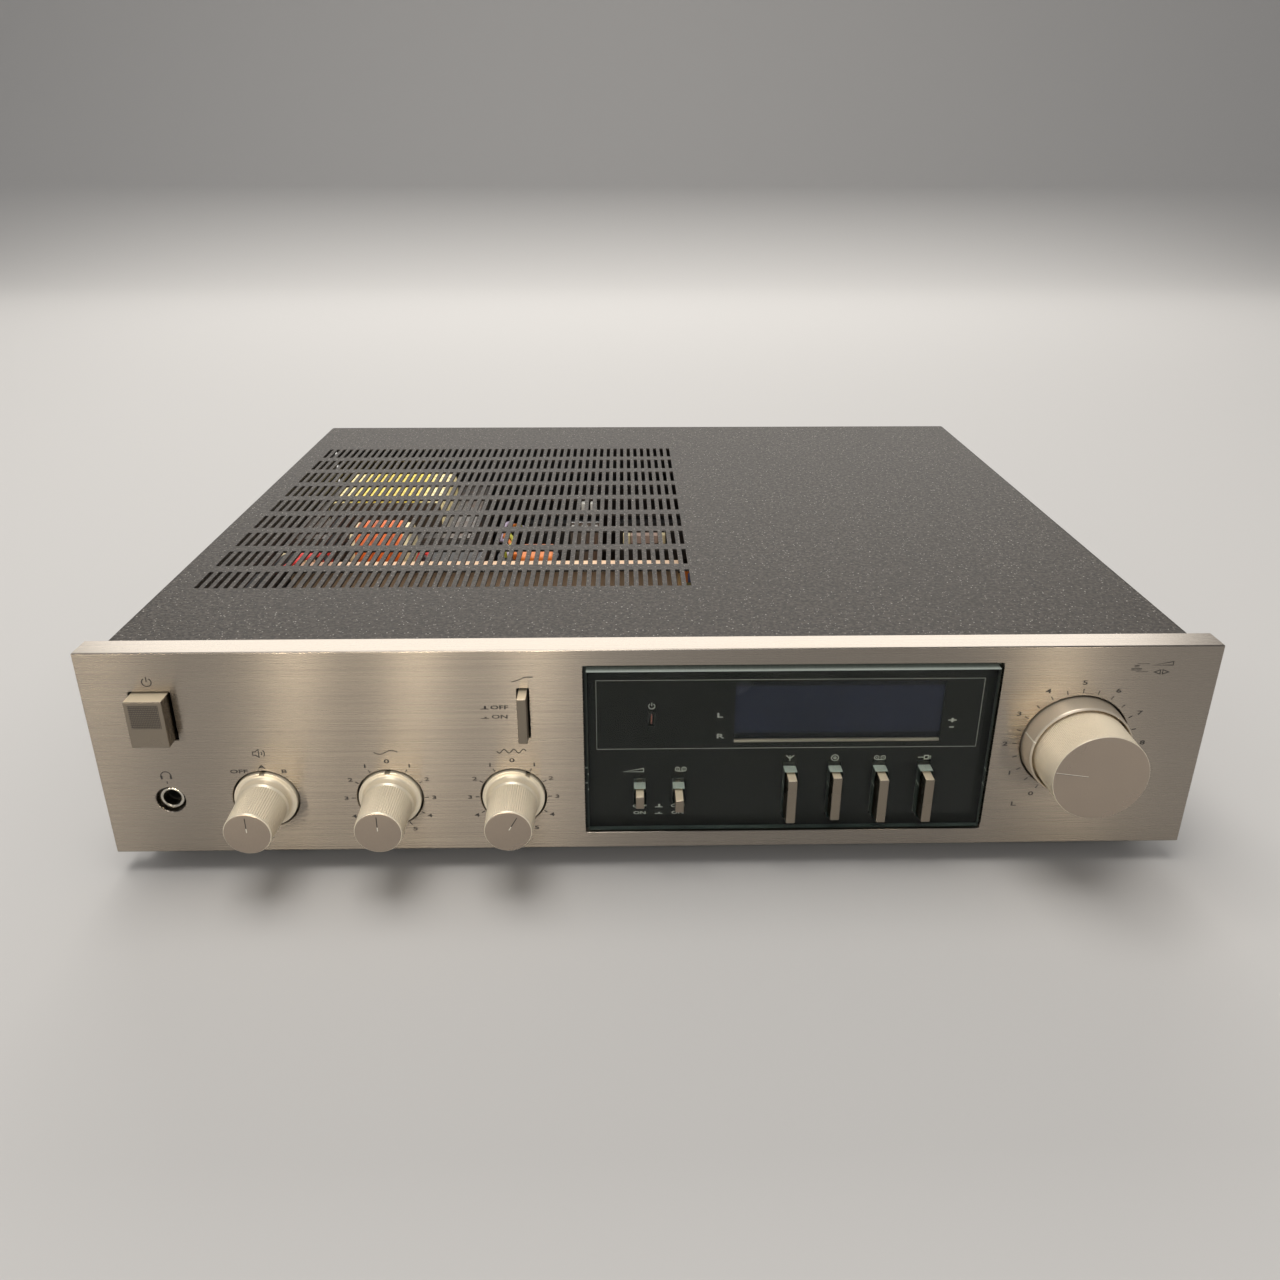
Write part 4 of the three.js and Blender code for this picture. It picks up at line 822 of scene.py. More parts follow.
def addDisplay():
    # The tube's glass, the pale ledge at the opening's foot, and the indicator's slit in its holder
    glass = block(tubeLow, tubeHigh, window["tubeEdge"], "y")
    addPiece("display_glass", [glass], [display], replaces=["display_tube"])
    openLow, openHigh = tubeLow + window["tubeMargin"], tubeHigh - window["tubeMargin"]
    ledge = block(
        (openLow[0] + 0.1, maskLow[1] + 0.1, openLow[2]),
        (openHigh[0] - 0.1, maskHigh[1] + 0.2, openLow[2] + window["ledge"]), 0.15, "x",
    )
    addPiece("display_ledge", [ledge], [tanLedge])
    low, high = corners("power_indicator")
    centre, half = (low[0] + high[0]) / 2, window["slitWidth"] / 2
    holder = block((low[0], low[1] + 0.3, low[2]), high, 0.4, "y", 1)
    slit = block((centre - half, low[1], low[2] + 0.6), (centre + half, low[1] + 1, high[2] - 0.6), 0.15)
    addPiece(
        "indicator_lens", [holder, slit], [redLens, maskPrint],
        replaces=["power_indicator"],
    )


addDisplay()
print("window made")

# Knobs: a flange with a notch over the pointer, a collar, and a knurled body
knob = {
    "reach": 20.8,
    "faceRadius": 8.8,
    "bodyRadius": 9.4,
    "collarRadius": 9.9,
    "collarReach": 4.2,
    "fillet": 1.3,
    "flangeRadius": 12.0,
    "flangeReach": 0.9,
    "tail": 2.0,
    "flutes": 64,
    "fluteDepth": 0.22,
    "steps": 576,
    "notch": (1.9, 1.1),
    "pointer": (1.6, 7.0, 0.34),
    "rests": {"speakers": 0.0, "bass": 0.0, "treble": 30.0},
}


def spun(shapes, degrees, x, z):
    # Shapes made round the y axis, turned clockwise as seen from the front and moved to (x, z)
    cosine, sine = math.cos(math.radians(degrees)), math.sin(math.radians(degrees))
    placed = []
    for shape in shapes:
        across, along, up = shape.points.T
        points = np.stack([across * cosine + up * sine + x, along, up * cosine - across * sine + z], -1)
        placed.append(Shape(points, shape.blocks))
    return placed


def needle(inner, outer, width, y, finish):
    # A thin bar that points up from the middle, with its face at y
    half = (outer - inner) / 2
    outline = roundRect(width, 2 * half, width * 0.45, 3)
    return layers([(y, outline), (y + 0.1, outline)], "y", (0, 0, inner + half), finish)


def smallKnobShapes():
    steps = knob["steps"]
    face = faceY - knob["reach"]
    flange = faceY - knob["flangeReach"]
    collar = faceY - knob["collarReach"]
    radius, wide, collarRadius = knob["faceRadius"], knob["bodyRadius"], knob["collarRadius"]
    rim = knob["flangeRadius"]
    angle = np.linspace(0, 2 * np.pi, steps, endpoint=False)
    across = rim * np.abs(np.sin(angle))
    notch = np.where((across < knob["notch"][0] / 2) & (np.cos(angle) > 0), knob["notch"][1], 0.0)
    fluted = flutes(knob["flutes"], steps, knob["fluteDepth"])
    bend = knob["fillet"]
    curve = arc(bend, (collarRadius + bend, flange - bend), 180, 90, 5)
    fillet = [(*point, 0, 0) for point in curve]
    profile = [
        (0, face + 0.05, 0, 0), (radius - 0.75, face + 0.05, 0, 0), (radius - 0.35, face + 0.12, 0, 0),
        (radius - 0.1, face + 0.32, 0, 0), (radius, face + 0.6, 0, 0), (radius + 0.01, face + 0.9, 1, 0),
        (wide, collar - 1.1, 1, 0), (wide + 0.02, collar - 0.8, 0, 0),
        (collarRadius - 0.25, collar - 0.5, 0, 0), (collarRadius, collar - 0.1, 0, 0), *fillet,
        (rim - 0.5, flange, 0, 1), (rim - 0.12, flange + 0.15, 0, 1), (rim, flange + 0.5, 0, 1),
        (rim, faceY + knob["tail"], 0, 1), (0, faceY + knob["tail"], 0, 0),
    ]
    body = turned(profile, (0, 0, 0), steps, relief=(fluted, notch))
    inner, outer, width = knob["pointer"]
    dark = needle(inner, outer, width, face + 0.02, 1)
    # A short bar of painted highlight over the pointer's inner end
    bright = needle(inner - 0.9, inner + 0.9, width, face + 0.01, 2)
    return [body, dark, bright]


def addKnobs():
    for name, (x, z) in knobs.items():
        shapes = spun(smallKnobShapes(), knob["rests"][name], x, z)
        piece = addPiece(
            name + "_cap", shapes, [knurledSideSheen, darkPrintAndShadow, paintedHighlight, turnedFace],
            name, [name + "_knob"],
        )
        finishWhere(piece, frontOf(faceY - knob["reach"] + 1), 3)


addKnobs()

# Volume knob and the balance ring round its foot
volume = {
    "reach": 22.7,
    "faceRadius": 17.5,
    "baseRadius": 17.9,
    "foot": 0.3,
    "flutes": 180,
    "fluteDepth": 0.16,
    "steps": 1080,
    "pointer": (4.8, 17.0, 0.3),
    "rest": -81.5,
}
ring = {
    "outerRadius": 20.0,
    "frontRadius": 19.5,
    "boreRadius": 18.7,
    "reach": 7.2,
    "bevel": 0.7,
    "webFront": 0.5,
    "webBack": 2.5,
    "hubRadius": 8.0,
    "hubBack": 5.5,
    "hubBore": 5.0,
    "lineWidth": 0.55,
    "rest": -75.0,
}


def addVolume():
    steps = volume["steps"]
    face = faceY - volume["reach"]
    radius, base = volume["faceRadius"], volume["baseRadius"]
    foot = faceY - volume["foot"]
    fluted = flutes(volume["flutes"], steps, volume["fluteDepth"])
    profile = [
        (0, face + 0.05, 0), (radius - 0.45, face + 0.05, 0), (radius - 0.2, face + 0.1, 0),
        (radius - 0.05, face + 0.25, 0), (radius, face + 0.5, 0), (radius + 0.01, face + 0.7, 1),
        (base, foot - 0.9, 1), (base, foot - 0.6, 0), (base - 0.4, foot, 0), (0, foot, 0),
    ]
    # The volume pointer: a dark bar of painted shadow, and along one side of it a narrower bar of painted
    # highlight
    inner, outer, width = volume["pointer"]
    shapes = [
        turned(profile, (0, 0, 0), steps, relief=(fluted,)),
        needle(inner, outer, width, face + 0.02, 1),
        needle(inner, outer, width * 0.6, face, 2).moved(x=width * 0.35),
    ]
    piece = addPiece(
        "volume_cap", spun(shapes, volume["rest"], volumeX, volumeZ),
        [knurledSideSheen, darkPrintAndShadow, paintedHighlight, turnedFace], "volume", ["volume_knob"],
    )
    finishWhere(piece, frontOf(face + 1), 3)


def addRing():
    front = faceY - ring["reach"]
    outer, rim, bore, bevel = ring["outerRadius"], ring["frontRadius"], ring["boreRadius"], ring["bevel"]
    profile = [
        (ring["hubBore"], faceY + ring["webFront"]), (bore, faceY + ring["webFront"]),
        (bore, front + 0.15), (bore + 0.15, front), (rim - bevel, front), (rim - 0.12, front + bevel - 0.1),
        (rim, front + bevel + 0.25), (outer, faceY - 0.2), (outer, faceY + ring["webBack"]),
        (ring["hubRadius"], faceY + ring["webBack"]), (ring["hubRadius"], faceY + ring["hubBack"]),
        (ring["hubBore"], faceY + ring["hubBack"]),
    ]
    body = turned(profile, (0, 0, 0), 240, wrap=True)
    # The bright line is a painted highlight that stands for a cut line catching the light; it runs over the
    # bevel and down the side, as a bar of three short runs
    path = [
        (bore + 0.1, front), (rim - bevel, front), (rim + 0.03, front + bevel), (outer + 0.03, faceY - 0.2),
    ]
    half, sunk = ring["lineWidth"] / 2, 0.2
    line = loft([
        [(-half, y, up), (half, y, up), (half, y + sunk, up - sunk), (-half, y + sunk, up - sunk)]
        for up, y in path
    ], 1)
    addPiece(
        "balance_collar", spun((body, line), ring["rest"], volumeX, volumeZ), [ringMetal, paintedHighlight],
        "balance", ["balance_ring"],
    )


addVolume()
addRing()
print("knobs made")

# Buttons: a cap with eased edges on a narrower stem
button = {
    "edge": 0.35,
    "capDepth": {"selector": 10.3, "mode": 11.3, "low_cut": 10.0, "power": 10.0},
    "stem": (2.2, 4.0),
    "powerStem": (6.0, 6.0),
    "cells": (18, 11),
    "cellDepth": 0.14,
    "cellShare": 0.6,
    "fieldInset": 1.5,
    "fieldShare": 0.58,
    "fieldRise": 0.03,
    "studEdge": 0.06,
}


def addButton(name, kind):
    # The upward faces of the cap take a paler colour, a painted highlight where the light catches them
    low, high = corners(name + "_button")
    x, z = axisOf(name + "_button")
    capBack = low[1] + button["capDepth"][kind]
    width, height = button["powerStem"] if kind == "power" else button["stem"]
    cap = block(low, (high[0], capBack, high[2]), button["edge"], "y")
    stem = block(
        (x - width / 2, capBack - 1, z - height / 2), (x + width / 2, high[1], z + height / 2), 0.2, "y",
    )
    shapes = [cap, stem]
    if kind == "power":
        shapes += powerField(low, high)
    piece = addPiece(
        name + "_key", shapes, [buttonMetal, groove, buttonTopHighlight],
        name, [name + "_button"],
    )
    finishWhere(piece, topAbove(high[2] - 0.5), 2)


def powerField(low, high):
    # Square studs in columns and rows, each as wide as its share of a cell, on a ground painted darker as the
    # shade between them
    left, right = low[0] + button["fieldInset"], high[0] - button["fieldInset"]
    top = high[2] - button["fieldInset"]
    bottom = high[2] - (high[2] - low[2]) * button["fieldShare"]
    columns, rows = button["cells"]
    ground = low[1] - button["fieldRise"]
    shapes = [block((left, ground, bottom), (right, low[1] + 0.3, top), 0.02, finish=1)]
    wide, tall = (right - left) / columns, (top - bottom) / rows
    outline = roundRect(wide * button["cellShare"], tall * button["cellShare"], 0.05, 1)
    peak = ground - button["cellDepth"]
    edge = button["studEdge"]
    levels = [(peak, inset(outline, edge)), (peak + edge, outline), (ground + 0.1, outline)]
    for row in range(rows):
        for column in range(columns):
            centre = (left + wide * (column + 0.5), 0, bottom + tall * (row + 0.5))
            shapes.append(layers(levels, "y", centre))
    return shapes


for kind, names in (("selector", selectors), ("mode", modes), ("low_cut", ["low_cut"]), ("power", ["power"])):
    for name in names:
        addButton(name, kind)
print("buttons made")

# Headphone socket: a plated ring in the panel's recess, a stepped bore with painted shade deep in it, and the
# body behind
socket = {
    "ringRadius": 4.6,
    "boreRadius": 3.25,
    "endWall": 3.0,
    "bodyWidth": 15.0,
    "bodyHeight": 17.0,
}


def addSocket():
    low, high = corners("headphone_socket")
    front, back = low[1], high[1]
    shoulder = corners("filter_switch")[0][1]
    rim, bore = socket["ringRadius"], socket["boreRadius"]
    end, centre = back - socket["endWall"], (powerX, 0, lowerZ)
    barrel = turned([
        (bore, end), (bore, front + 0.7), (bore + 0.2, front + 0.25),
        (bore + 0.6, front), (rim - 0.4, front), (rim - 0.1, front + 0.15), (rim, front + 0.5),
        (rim, shoulder + 1), (bore + 0.5, shoulder + 1), (bore + 0.5, end),
    ], centre, 96, wrap=True)
    half, tall = socket["bodyWidth"] / 2, socket["bodyHeight"] / 2
    body = block(
        (powerX - half, shoulder, lowerZ - tall), (powerX + half, back, lowerZ + tall), 0.6, "y", 1,
    )
    # A near-black tube just inside the bore, from 4 mm in: painted shade in the bore's depth
    shadeTube = turned([
        (bore - 0.05, end - 1), (bore - 0.05, front + 4), (bore - 0.3, front + 4), (bore - 0.3, end - 1),
    ], centre, 48, finish=1, wrap=True)
    opening = circle(bore + 0.3, 64)
    way = layers([(front - 1, opening), (end, opening)], "y", centre, 1)
    addPiece(
        "socket_body", [body], [nickel, blackPlastic], replaces=["headphone_socket"],
        cutters=[way],
    )
    addPiece("socket_ring", [barrel, shadeTube], [nickel, boreShade])


addSocket()
print("socket made")

# Printed marks on the panel: numbered dials, and pictograms in place of words
marks = {
    "depth": (0.03, -0.03),
    "line": 0.36,
    "digit": 1.75,
    "stretch": 1.75,
    "toneRadius": 16.3,
    "toneTicks": (13.2, 14.7),
    "volumeRadius": 26.4,
    "volumeTicks": (21.9, 23.6),
    "headingRise": 20.6,
}
printLevels = (faceY - marks["depth"][0], faceY - marks["depth"][1])


def around(radius, degrees, x, z):
    # The point at an angle clockwise from the top
    angle = math.radians(degrees)
    return x + radius * math.sin(angle), z + radius * math.cos(angle)


class Sheet:
    # Printed lines and letters that share a plane: a scale and an origin place each pictogram;
    # the side is -1 on the back, where across runs the other way
    def __init__(self, levels, side=1):
        self.levels = levels
        self.side = side
        self.shapes = []

    def line(self, path, x=0.0, z=0.0, scale=1.0, width=None, closed=False):
        path = np.asarray(path, float) * scale * (self.side, 1) + (x, z)
        self.shapes.append(ribbon(path, width or marks["line"], self.levels, closed))

    def disc(self, radius, x, z, steps):
        outline = circle(radius, steps) + (x, z)
        self.shapes.append(layers([(self.levels[0], outline), (self.levels[1], outline)], "y"))

    def ringAt(self, radius, x, z, start=0.0, end=360.0):
        closed = end - start >= 360
        turn = np.radians(np.linspace(start, end, 33))[: 32 if closed else 33]
        path = np.stack([radius * np.sin(turn), radius * np.cos(turn)], -1)
        self.line(path, x, z, closed=closed)

    def text(self, words, x, z, height=None):
        height = height or marks["digit"]
        self.shapes.append(lettering(words, height, x, z, self.levels, marks["stretch"], self.side))

    def ticks(self, x, z, radii, angles):
        for angle in angles:
            self.line([around(radius, angle, 0, 0) for radius in radii], x, z)


def powerSign(sheet, x, z, size):
    sheet.ringAt(size, x, z, start=35, end=325)
    sheet.line([(0, 0.1), (0, 1.35)], x, z, size)


def phonesSign(sheet, x, z, size):
    sheet.ringAt(size, x, z, start=-95, end=95)
    for side in (-1, 1):
        sheet.line([(side * 0.92, -0.75), (side * 0.92, 0.1)], x, z, size, width=0.75)


def speakerSign(sheet, x, z, size):
    cone = [(-1.5, -0.45), (-0.9, -0.45), (-0.1, -1.1), (-0.1, 1.1), (-0.9, 0.45), (-1.5, 0.45)]
    sheet.line(cone, x, z, size, closed=True)
    for radius in (0.75, 1.35):
        sheet.ringAt(radius * size, x - 0.1 * size, z, start=52, end=128)


def waveSign(sheet, x, z, cycles, width):
    # 0.85 sin(2 pi cycles a) over the width
    along = np.linspace(-0.5, 0.5, 12 * cycles + 1)
    path = np.stack([along * width, 0.85 * np.sin(2 * np.pi * cycles * along)], -1)
    sheet.line(path, x, z)


def wedgeSign(sheet, x, z, width, height):
    path = [(-0.5 * width, -0.5 * height), (0.5 * width, -0.5 * height), (0.5 * width, 0.5 * height)]
    sheet.line(path, x, z, closed=True)


def balanceSign(sheet, x, z, size):
    for side in (-1, 1):
        sheet.line([(side * 3.0, 0.0), (side * 0.5, 1.0), (side * 0.5, -1.0)], x, z, size, closed=True)


def keySign(sheet, x, z, raised):
    # A button seen from the side, standing out of its plate or pressed into it
    sheet.line([(-1.5, 0), (1.5, 0)], x, z, width=0.3)
    top = 1.3 if raised else 0.65
    sheet.line([(-0.3, top / 2), (0.5, top / 2)], x + 0.1, z, width=top)


def stepSign(sheet, x, z):
    # A level that falls away towards the low end: 1.9 min(1, 1.6 a)^1.5
    along = np.linspace(0, 1, 13)
    path = np.stack([(along - 0.5) * 8.0, 1.9 * np.minimum(1, along * 1.6) ** 1.5 - 0.95], -1)
    sheet.line(path, x, z)


def addPanelMarks():
    sheet = Sheet(printLevels)
    powerSign(sheet, powerX, 86.0, 1.7)
    phonesSign(sheet, powerX, 45.4, 1.9)
    sheet.line([(0, -0.5), (0, 0.5)], powerX, 42.4)
    stepSign(sheet, filterX, 86.0)
    for words, z, raised in (("OFF", 73.6, True), ("ON", 69.6, False)):
        keySign(sheet, filterX - 14.4, z, raised)
        sheet.text(words, filterX - 8.9, z + 0.7, 1.6)
    speakersX, heading = knobs["speakers"][0], lowerZ + marks["headingRise"]
    speakerSign(sheet, speakersX, heading, 1.6)
    for words, x, z in (("OFF", -8.7, 12.7), ("A", 0.1, 14.6), ("B", 8.3, 12.6)):
        sheet.text(words, speakersX + x, lowerZ + z, 1.6)
    for name, cycles, width in (("bass", 1, 9.0), ("treble", 3, 11.0)):
        x = knobs[name][0]
        waveSign(sheet, x, heading, cycles, width)
        sheet.text("0", x, lowerZ + marks["toneRadius"] + 0.3)
        steps = [side * 30 * number for number in range(1, 6) for side in (-1, 1)]
        sheet.ticks(x, lowerZ, marks["toneTicks"], steps)
        for step in steps:
            spot = around(marks["toneRadius"] + 0.5, step, x, lowerZ)
            sheet.text(str(abs(step) // 30), *spot, 1.6)
    sheet.ticks(volumeX, volumeZ, marks["volumeTicks"], range(-150, 151, 15))
    for number in range(11):
        sheet.text(str(number), *around(marks["volumeRadius"], 30 * number - 150, volumeX, volumeZ))
    for words, side in (("L", -1), ("R", 1)):
        sheet.text(words, volumeX + side * 19.4, volumeZ - 27.6, 1.9)
    # Which of the two knobs is which: a small side view of both, with a leader to each sign
    keyX, keyZ = volumeX + 18.1, volumeZ + 32.4
    for half, rise in ((0.9, 1.0), (0.9, 0.4), (2.0, -0.3), (2.0, -0.9)):
        sheet.line([(-half, 0), (half, 0)], keyX, keyZ + rise, width=0.28)
    for rise in (1.7, -1.6):
        sheet.line([(0.0, rise), (4.6, rise)], keyX, keyZ, width=0.16)
    wedgeSign(sheet, keyX + 9.6, keyZ + 1.8, 7.5, 1.5)
    balanceSign(sheet, keyX + 9.6, keyZ - 1.8, 0.9)
    addPiece("panel_marks", sheet.shapes, [darkPrintAndShadow], even=False)


addPanelMarks()


def reelSign(sheet, x, z):
    for side in (-1, 1):
        sheet.ringAt(0.85, x + side * 1.25, z)
        sheet.disc(0.25, x + side * 1.25, z, 12)
    sheet.line([(-1.25, -0.95), (1.25, -0.95)], x, z)


def addWindowMarks():
    # On the back of the pane, between it and the mask
    back = corners("window_glass")[1][1]
    sheet = Sheet((back + 0.06, back + 0.16))
    left, right, top, bottom = -21.5, 124.3, 83.1, 53.2
    frameLine = [(left, bottom), (left, top), (right, top), (right, bottom)]
    sheet.line(frameLine, width=0.15, closed=True)
    indicatorX, indicatorZ = axisOf("power_indicator")
    powerSign(sheet, indicatorX, indicatorZ + 5.9, 1.15)
    for words, x, z in (("L", 25.2, 67.9), ("R", 25.5, 58.7)):
        sheet.text(words, x, z, 2.0)
    for words, z in (("+", 65.0), ("-", 62.4)):
        sheet.text(words, 114.0, z, 2.6)
    wedgeSign(sheet, modes["loudness"] - 2.5, 43.6, 8.0, 1.5)
    reelSign(sheet, modes["adaptor"] + 0.9, 43.9)
    between = (modes["loudness"] + modes["adaptor"]) / 2
    keySign(sheet, between, 26.4, True)
    keySign(sheet, between, 23.3, False)
    for x in modes.values():
        sheet.text("OFF", x, 27.0, 1.3)
        sheet.text("ON", x, 23.8, 1.3)
    # An aerial, a disc, two reels and a plug over the four selectors
    heading = 48.4
    aerial = [[(-1.5, 1.3), (0, -0.1), (1.5, 1.3)], [(0, -1.2), (0, 1.3)]]
    pins = [[(-2.6, 0), (-0.2, 0)], [(1.3, 0.4), (2.4, 0.4)], [(1.3, -0.4), (2.4, -0.4)]]
    plug = [(-0.2, -0.8), (1.3, -0.8), (1.3, 0.8), (-0.2, 0.8)]
    for path in aerial:
        sheet.line(path, selectors["tuner"], heading)
    for radius in (1.35, 0.45):
        sheet.ringAt(radius, selectors["phono"], heading)
    reelSign(sheet, selectors["tape"], heading)
    sheet.line(plug, selectors["aux"], heading, closed=True)
    for path in pins:
        sheet.line(path, selectors["aux"], heading)
    addPiece("window_marks", sheet.shapes, [palePrint], even=False)


addWindowMarks()
print("marks made")

# Feet and cover screws
foot = {
    "radius": 19.0,
    "taper": 1.5,
    "recess": 6.0,
    "recessDepth": 5.0,
    "grooves": 3,
}
screw = {
    "radius": 4.0,
    "topRadius": 3.0,
    "height": 2.2,
    "shank": 1.9,
    "slot": 1.0,
    "slotLength": 4.6,
}


def addFoot(name):
    # The wall is a cone with grooves in it, radius - 0.6 taper (1 - z / top)
    x, y = middle(name)[:2]
    top = corners(name)[1][2]
    radius, recess, deep = foot["radius"], foot["recess"], foot["recessDepth"]
    under = radius - foot["taper"]
    wall = []
    for groove in range(foot["grooves"]):
        z = 3.0 + 2.2 * groove
        wide = radius - foot["taper"] * (1 - z / top) * 0.6
        wall += [(wide, z - 0.5), (wide - 0.35, z - 0.25), (wide - 0.35, z + 0.25), (wide, z + 0.5)]
    profile = [
        (0, deep), (recess, deep), (recess, 0.5), (recess + 0.5, 0), (under - 1.0, 0), (under - 0.3, 0.3),
        (under, 1.0), *wall, (radius, top - 0.6), (radius - 0.4, top), (0, top),
    ]
    head = turned([
        (0, deep - 2.0), (2.6, deep - 2.0), (3.4, deep - 1.2), (3.4, deep + 0.5), (0, deep + 0.5),
    ], (x, y, 0), 48, "z", finish=1)
    body = turned(profile, (x, y, 0), 96, "z")
    addPiece(name.replace("foot", "pad"), [body, head], [rubber, zinc], replaces=[name])


for name in ("foot_front_left", "foot_front_right", "foot_rear_left", "foot_rear_right"):
    addFoot(name)


def addScrew(name, side):
    # A cross-headed screw; the side is -1 on the left, where it points the other way
    low, high = corners(name)
    y, z = middle(name)[1:]
    seat = high[0] - screw["height"] if side > 0 else low[0] + screw["height"]
    inner = low[0] if side > 0 else high[0]
    radius, crown, shank, tall = screw["radius"], screw["topRadius"], screw["shank"], screw["height"]
    profile = [
        (0, inner), (shank - 0.4, inner), (shank, inner + side * 0.5), (shank, seat), (radius, seat),
        (radius, seat + side * (tall - 1.3)), (radius - 0.3, seat + side * (tall - 0.6)),
        (crown, seat + side * (tall - 0.1)), (crown - 0.5, seat + side * tall), (0, seat + side * tall),
    ]
    body = turned(profile, (0, y, z), 64, "x")
    cross = []
    for size in ((screw["slot"], screw["slotLength"]), (screw["slotLength"], screw["slot"])):
        outline = roundRect(*size, 0.2) + (y, z)
        ends = [seat + side * (tall - 1.1), seat + side * (tall + 1)]
        cross.append(layers([(end, outline) for end in ends], "x"))
    piece = addPiece(
        name.replace("cover_screw", "screw"), [body], [blackSteel],
        replaces=[name], cutters=cross[:1], even=False,
    )
    cutBy(piece, cross[1:])


for side, sideName in ((-1, "left"), (1, "right")):
    for end in ("front", "rear"):
        addScrew(f"cover_screw_{sideName}_{end}", side)
print("feet and screws made")

# Rear connectors
jack = {
    "radius": 4.1,
    "bore": 1.7,
    "collar": 5.3,
    "insertRadius": 3.3,
    "margin": 8.0,
    "columns": 7,
    "pitch": 17.5,
    "rows": {"L": 62.0, "R": 40.0},
}
terminal = {
    "base": 3.5,
    "rib": 1.6,
    "tail": 8.0,
    "count": 8,
    "screwRadius": 3.2,
    "screwHeight": 2.5,
    "plate": (4.2, 7.5),
}
post = {
    "nut": 4.6,
    "stud": 2.0,
    "flutes": 32,
    "fluteDepth": 0.35,
    "steps": 192,
}
gland = {
    "bore": 4.2,
    "neck": 6.0,
    "radius": 7.5,
    "ribs": 2,
    "ribPitch": 1.4,
}
rearLow, rearHigh = corners("rear_panel")
# The faces that the rear connectors seat against, outside and inside the rear panel
seatOut, seatIn = rearHigh[1] + 0.3, rearLow[1] - 0.3
jackColumns = [
    corners("input_jack_block")[0][0] + jack["margin"] + jack["pitch"] * column
    for column in range(jack["columns"])
]


def addJacks():
    # The housing; and each jack's barrel, its collar on the panel, and a white or a red insert
    low, high = corners("input_jack_block")
    shapes = [block(low, (high[0], seatIn, high[2]), 0.5, "y", 1)]
    end, outside = high[1], rearHigh[1]
    radius, bore, insert = jack["radius"], jack["bore"], jack["insertRadius"]
    barrel = [
        (bore + 0.6, seatIn - 0.5), (radius, seatIn - 0.5), (radius, end - 0.4), (radius - 0.3, end),
        (radius - 0.6, end), (insert, end - 0.4), (insert, end - 6.5), (bore + 0.6, end - 6.5),
    ]
    collar = [
        (jack["collar"], outside + 0.02), (jack["collar"], outside + 0.5),
        (radius - 0.1, outside + 0.6), (radius - 0.1, outside + 0.02),
    ]
    filling = [
        (bore, end - 1.6), (bore - 0.4, end - 7.5), (0, end - 7.5), (0, end - 8.2),
        (insert + 0.1, end - 8.2), (insert + 0.1, end - 1.2), (bore + 0.5, end - 1.2),
    ]
    for x in jackColumns:
        for channel, finish in (("R", 3), ("L", 2)):
            centre = (x, 0, jack["rows"][channel])
            for profile, number in ((barrel, 0), (collar, 0), (filling, finish)):
                shapes.append(turned(profile, centre, 40, finish=number, wrap=True))
    addPiece(
        "input_jacks", shapes, [nickel, blackPlastic, whiteInsert, redInsert],
        replaces=["input_jack_block"],
    )


def terminalPlaces():
    # The pitch of the strip's cells, and the middle of each
    low, high = corners("speaker_terminals")
    pitch = (high[0] - low[0] - terminal["rib"]) / terminal["count"]
    return pitch, [low[0] + terminal["rib"] / 2 + (cell + 0.5) * pitch for cell in range(terminal["count"])]


def addTerminals():
    low, high = corners("speaker_terminals")
    z = (low[2] + high[2]) / 2
    face, tail = seatOut + terminal["base"], terminal["tail"]
    pitch, places = terminalPlaces()
    shapes = [
        block((low[0], seatOut, low[2]), (high[0], face, high[2]), 0.6, "y"),
        block(
            (low[0] + tail, low[1], low[2] + tail / 2), (high[0] - tail, seatOut + 1, high[2] - tail / 2),
            0.4, "y",
        ),
    ]
    for number in range(terminal["count"] + 1):
        x = low[0] + number * pitch
        shapes.append(block((x, face - 0.5, low[2]), (x + terminal["rib"], high[1], high[2]), 0.35, "y"))
    addPiece("terminal_strip", shapes, [blackPlastic], replaces=["speaker_terminals"])
    radius, top = terminal["screwRadius"], face + terminal["screwHeight"]
    wide, tall = terminal["plate"]
    profile = [(0, face - 0.3), (radius, face - 0.3), (radius, top - 0.5), (radius - 0.5, top), (0, top)]
    plates, heads, slots = [], [], []
    for x in places:
        plates.append(block((x - wide, face - 0.2, z - tall), (x + wide, face + 0.7, z + tall), 0.2, "y"))
        heads.append(turned(profile, (x, 0, z), 48))
        outline = roundRect(0.8, 2 * radius + 1, 0.1) + (x, z)
        slots.append(layers([(top - 0.9, outline), (top + 1, outline)], "y"))
    addPiece("terminal_plates", plates, [nickel])
    addPiece("terminal_screws", heads, [nickel], cutters=slots)


def addPost():
    # A knurled nut outside, a hexagonal one inside, and the stud that both are on
    front, back = corners("ground_post")[0][1], corners("ground_post")[1][1]
    x, z = axisOf("ground_post")
    steps, wide, start = post["steps"], post["nut"], seatOut
    nut = turned([
        (0, start, 0), (wide - 0.4, start, 0), (wide, start + 0.5, 1), (wide, start + 5.2, 1),
        (wide - 0.4, start + 5.7, 0), (3.4, start + 6.0, 0), (3.2, start + 7.0, 0), (0, start + 7.0, 0),
    ], (x, 0, z), steps, relief=(flutes(post["flutes"], steps, post["fluteDepth"]),))
    thick = post["stud"]
    stud = turned([
        (0, front), (thick - 0.4, front), (thick, front + 0.4), (thick, back - 0.4), (thick - 0.4, back),
        (0, back),
    ], (x, 0, z), 48)
    hexagon = circle(wide, 6)
    levels = [(seatIn - 2.0, inset(hexagon, 0.2)), (seatIn - 1.8, hexagon), (seatIn, hexagon)]
    backNut = layers(levels, "y", (x, 0, z))
    addPiece("earth_post", [nut, stud, backNut], [nickel], replaces=["ground_post"])


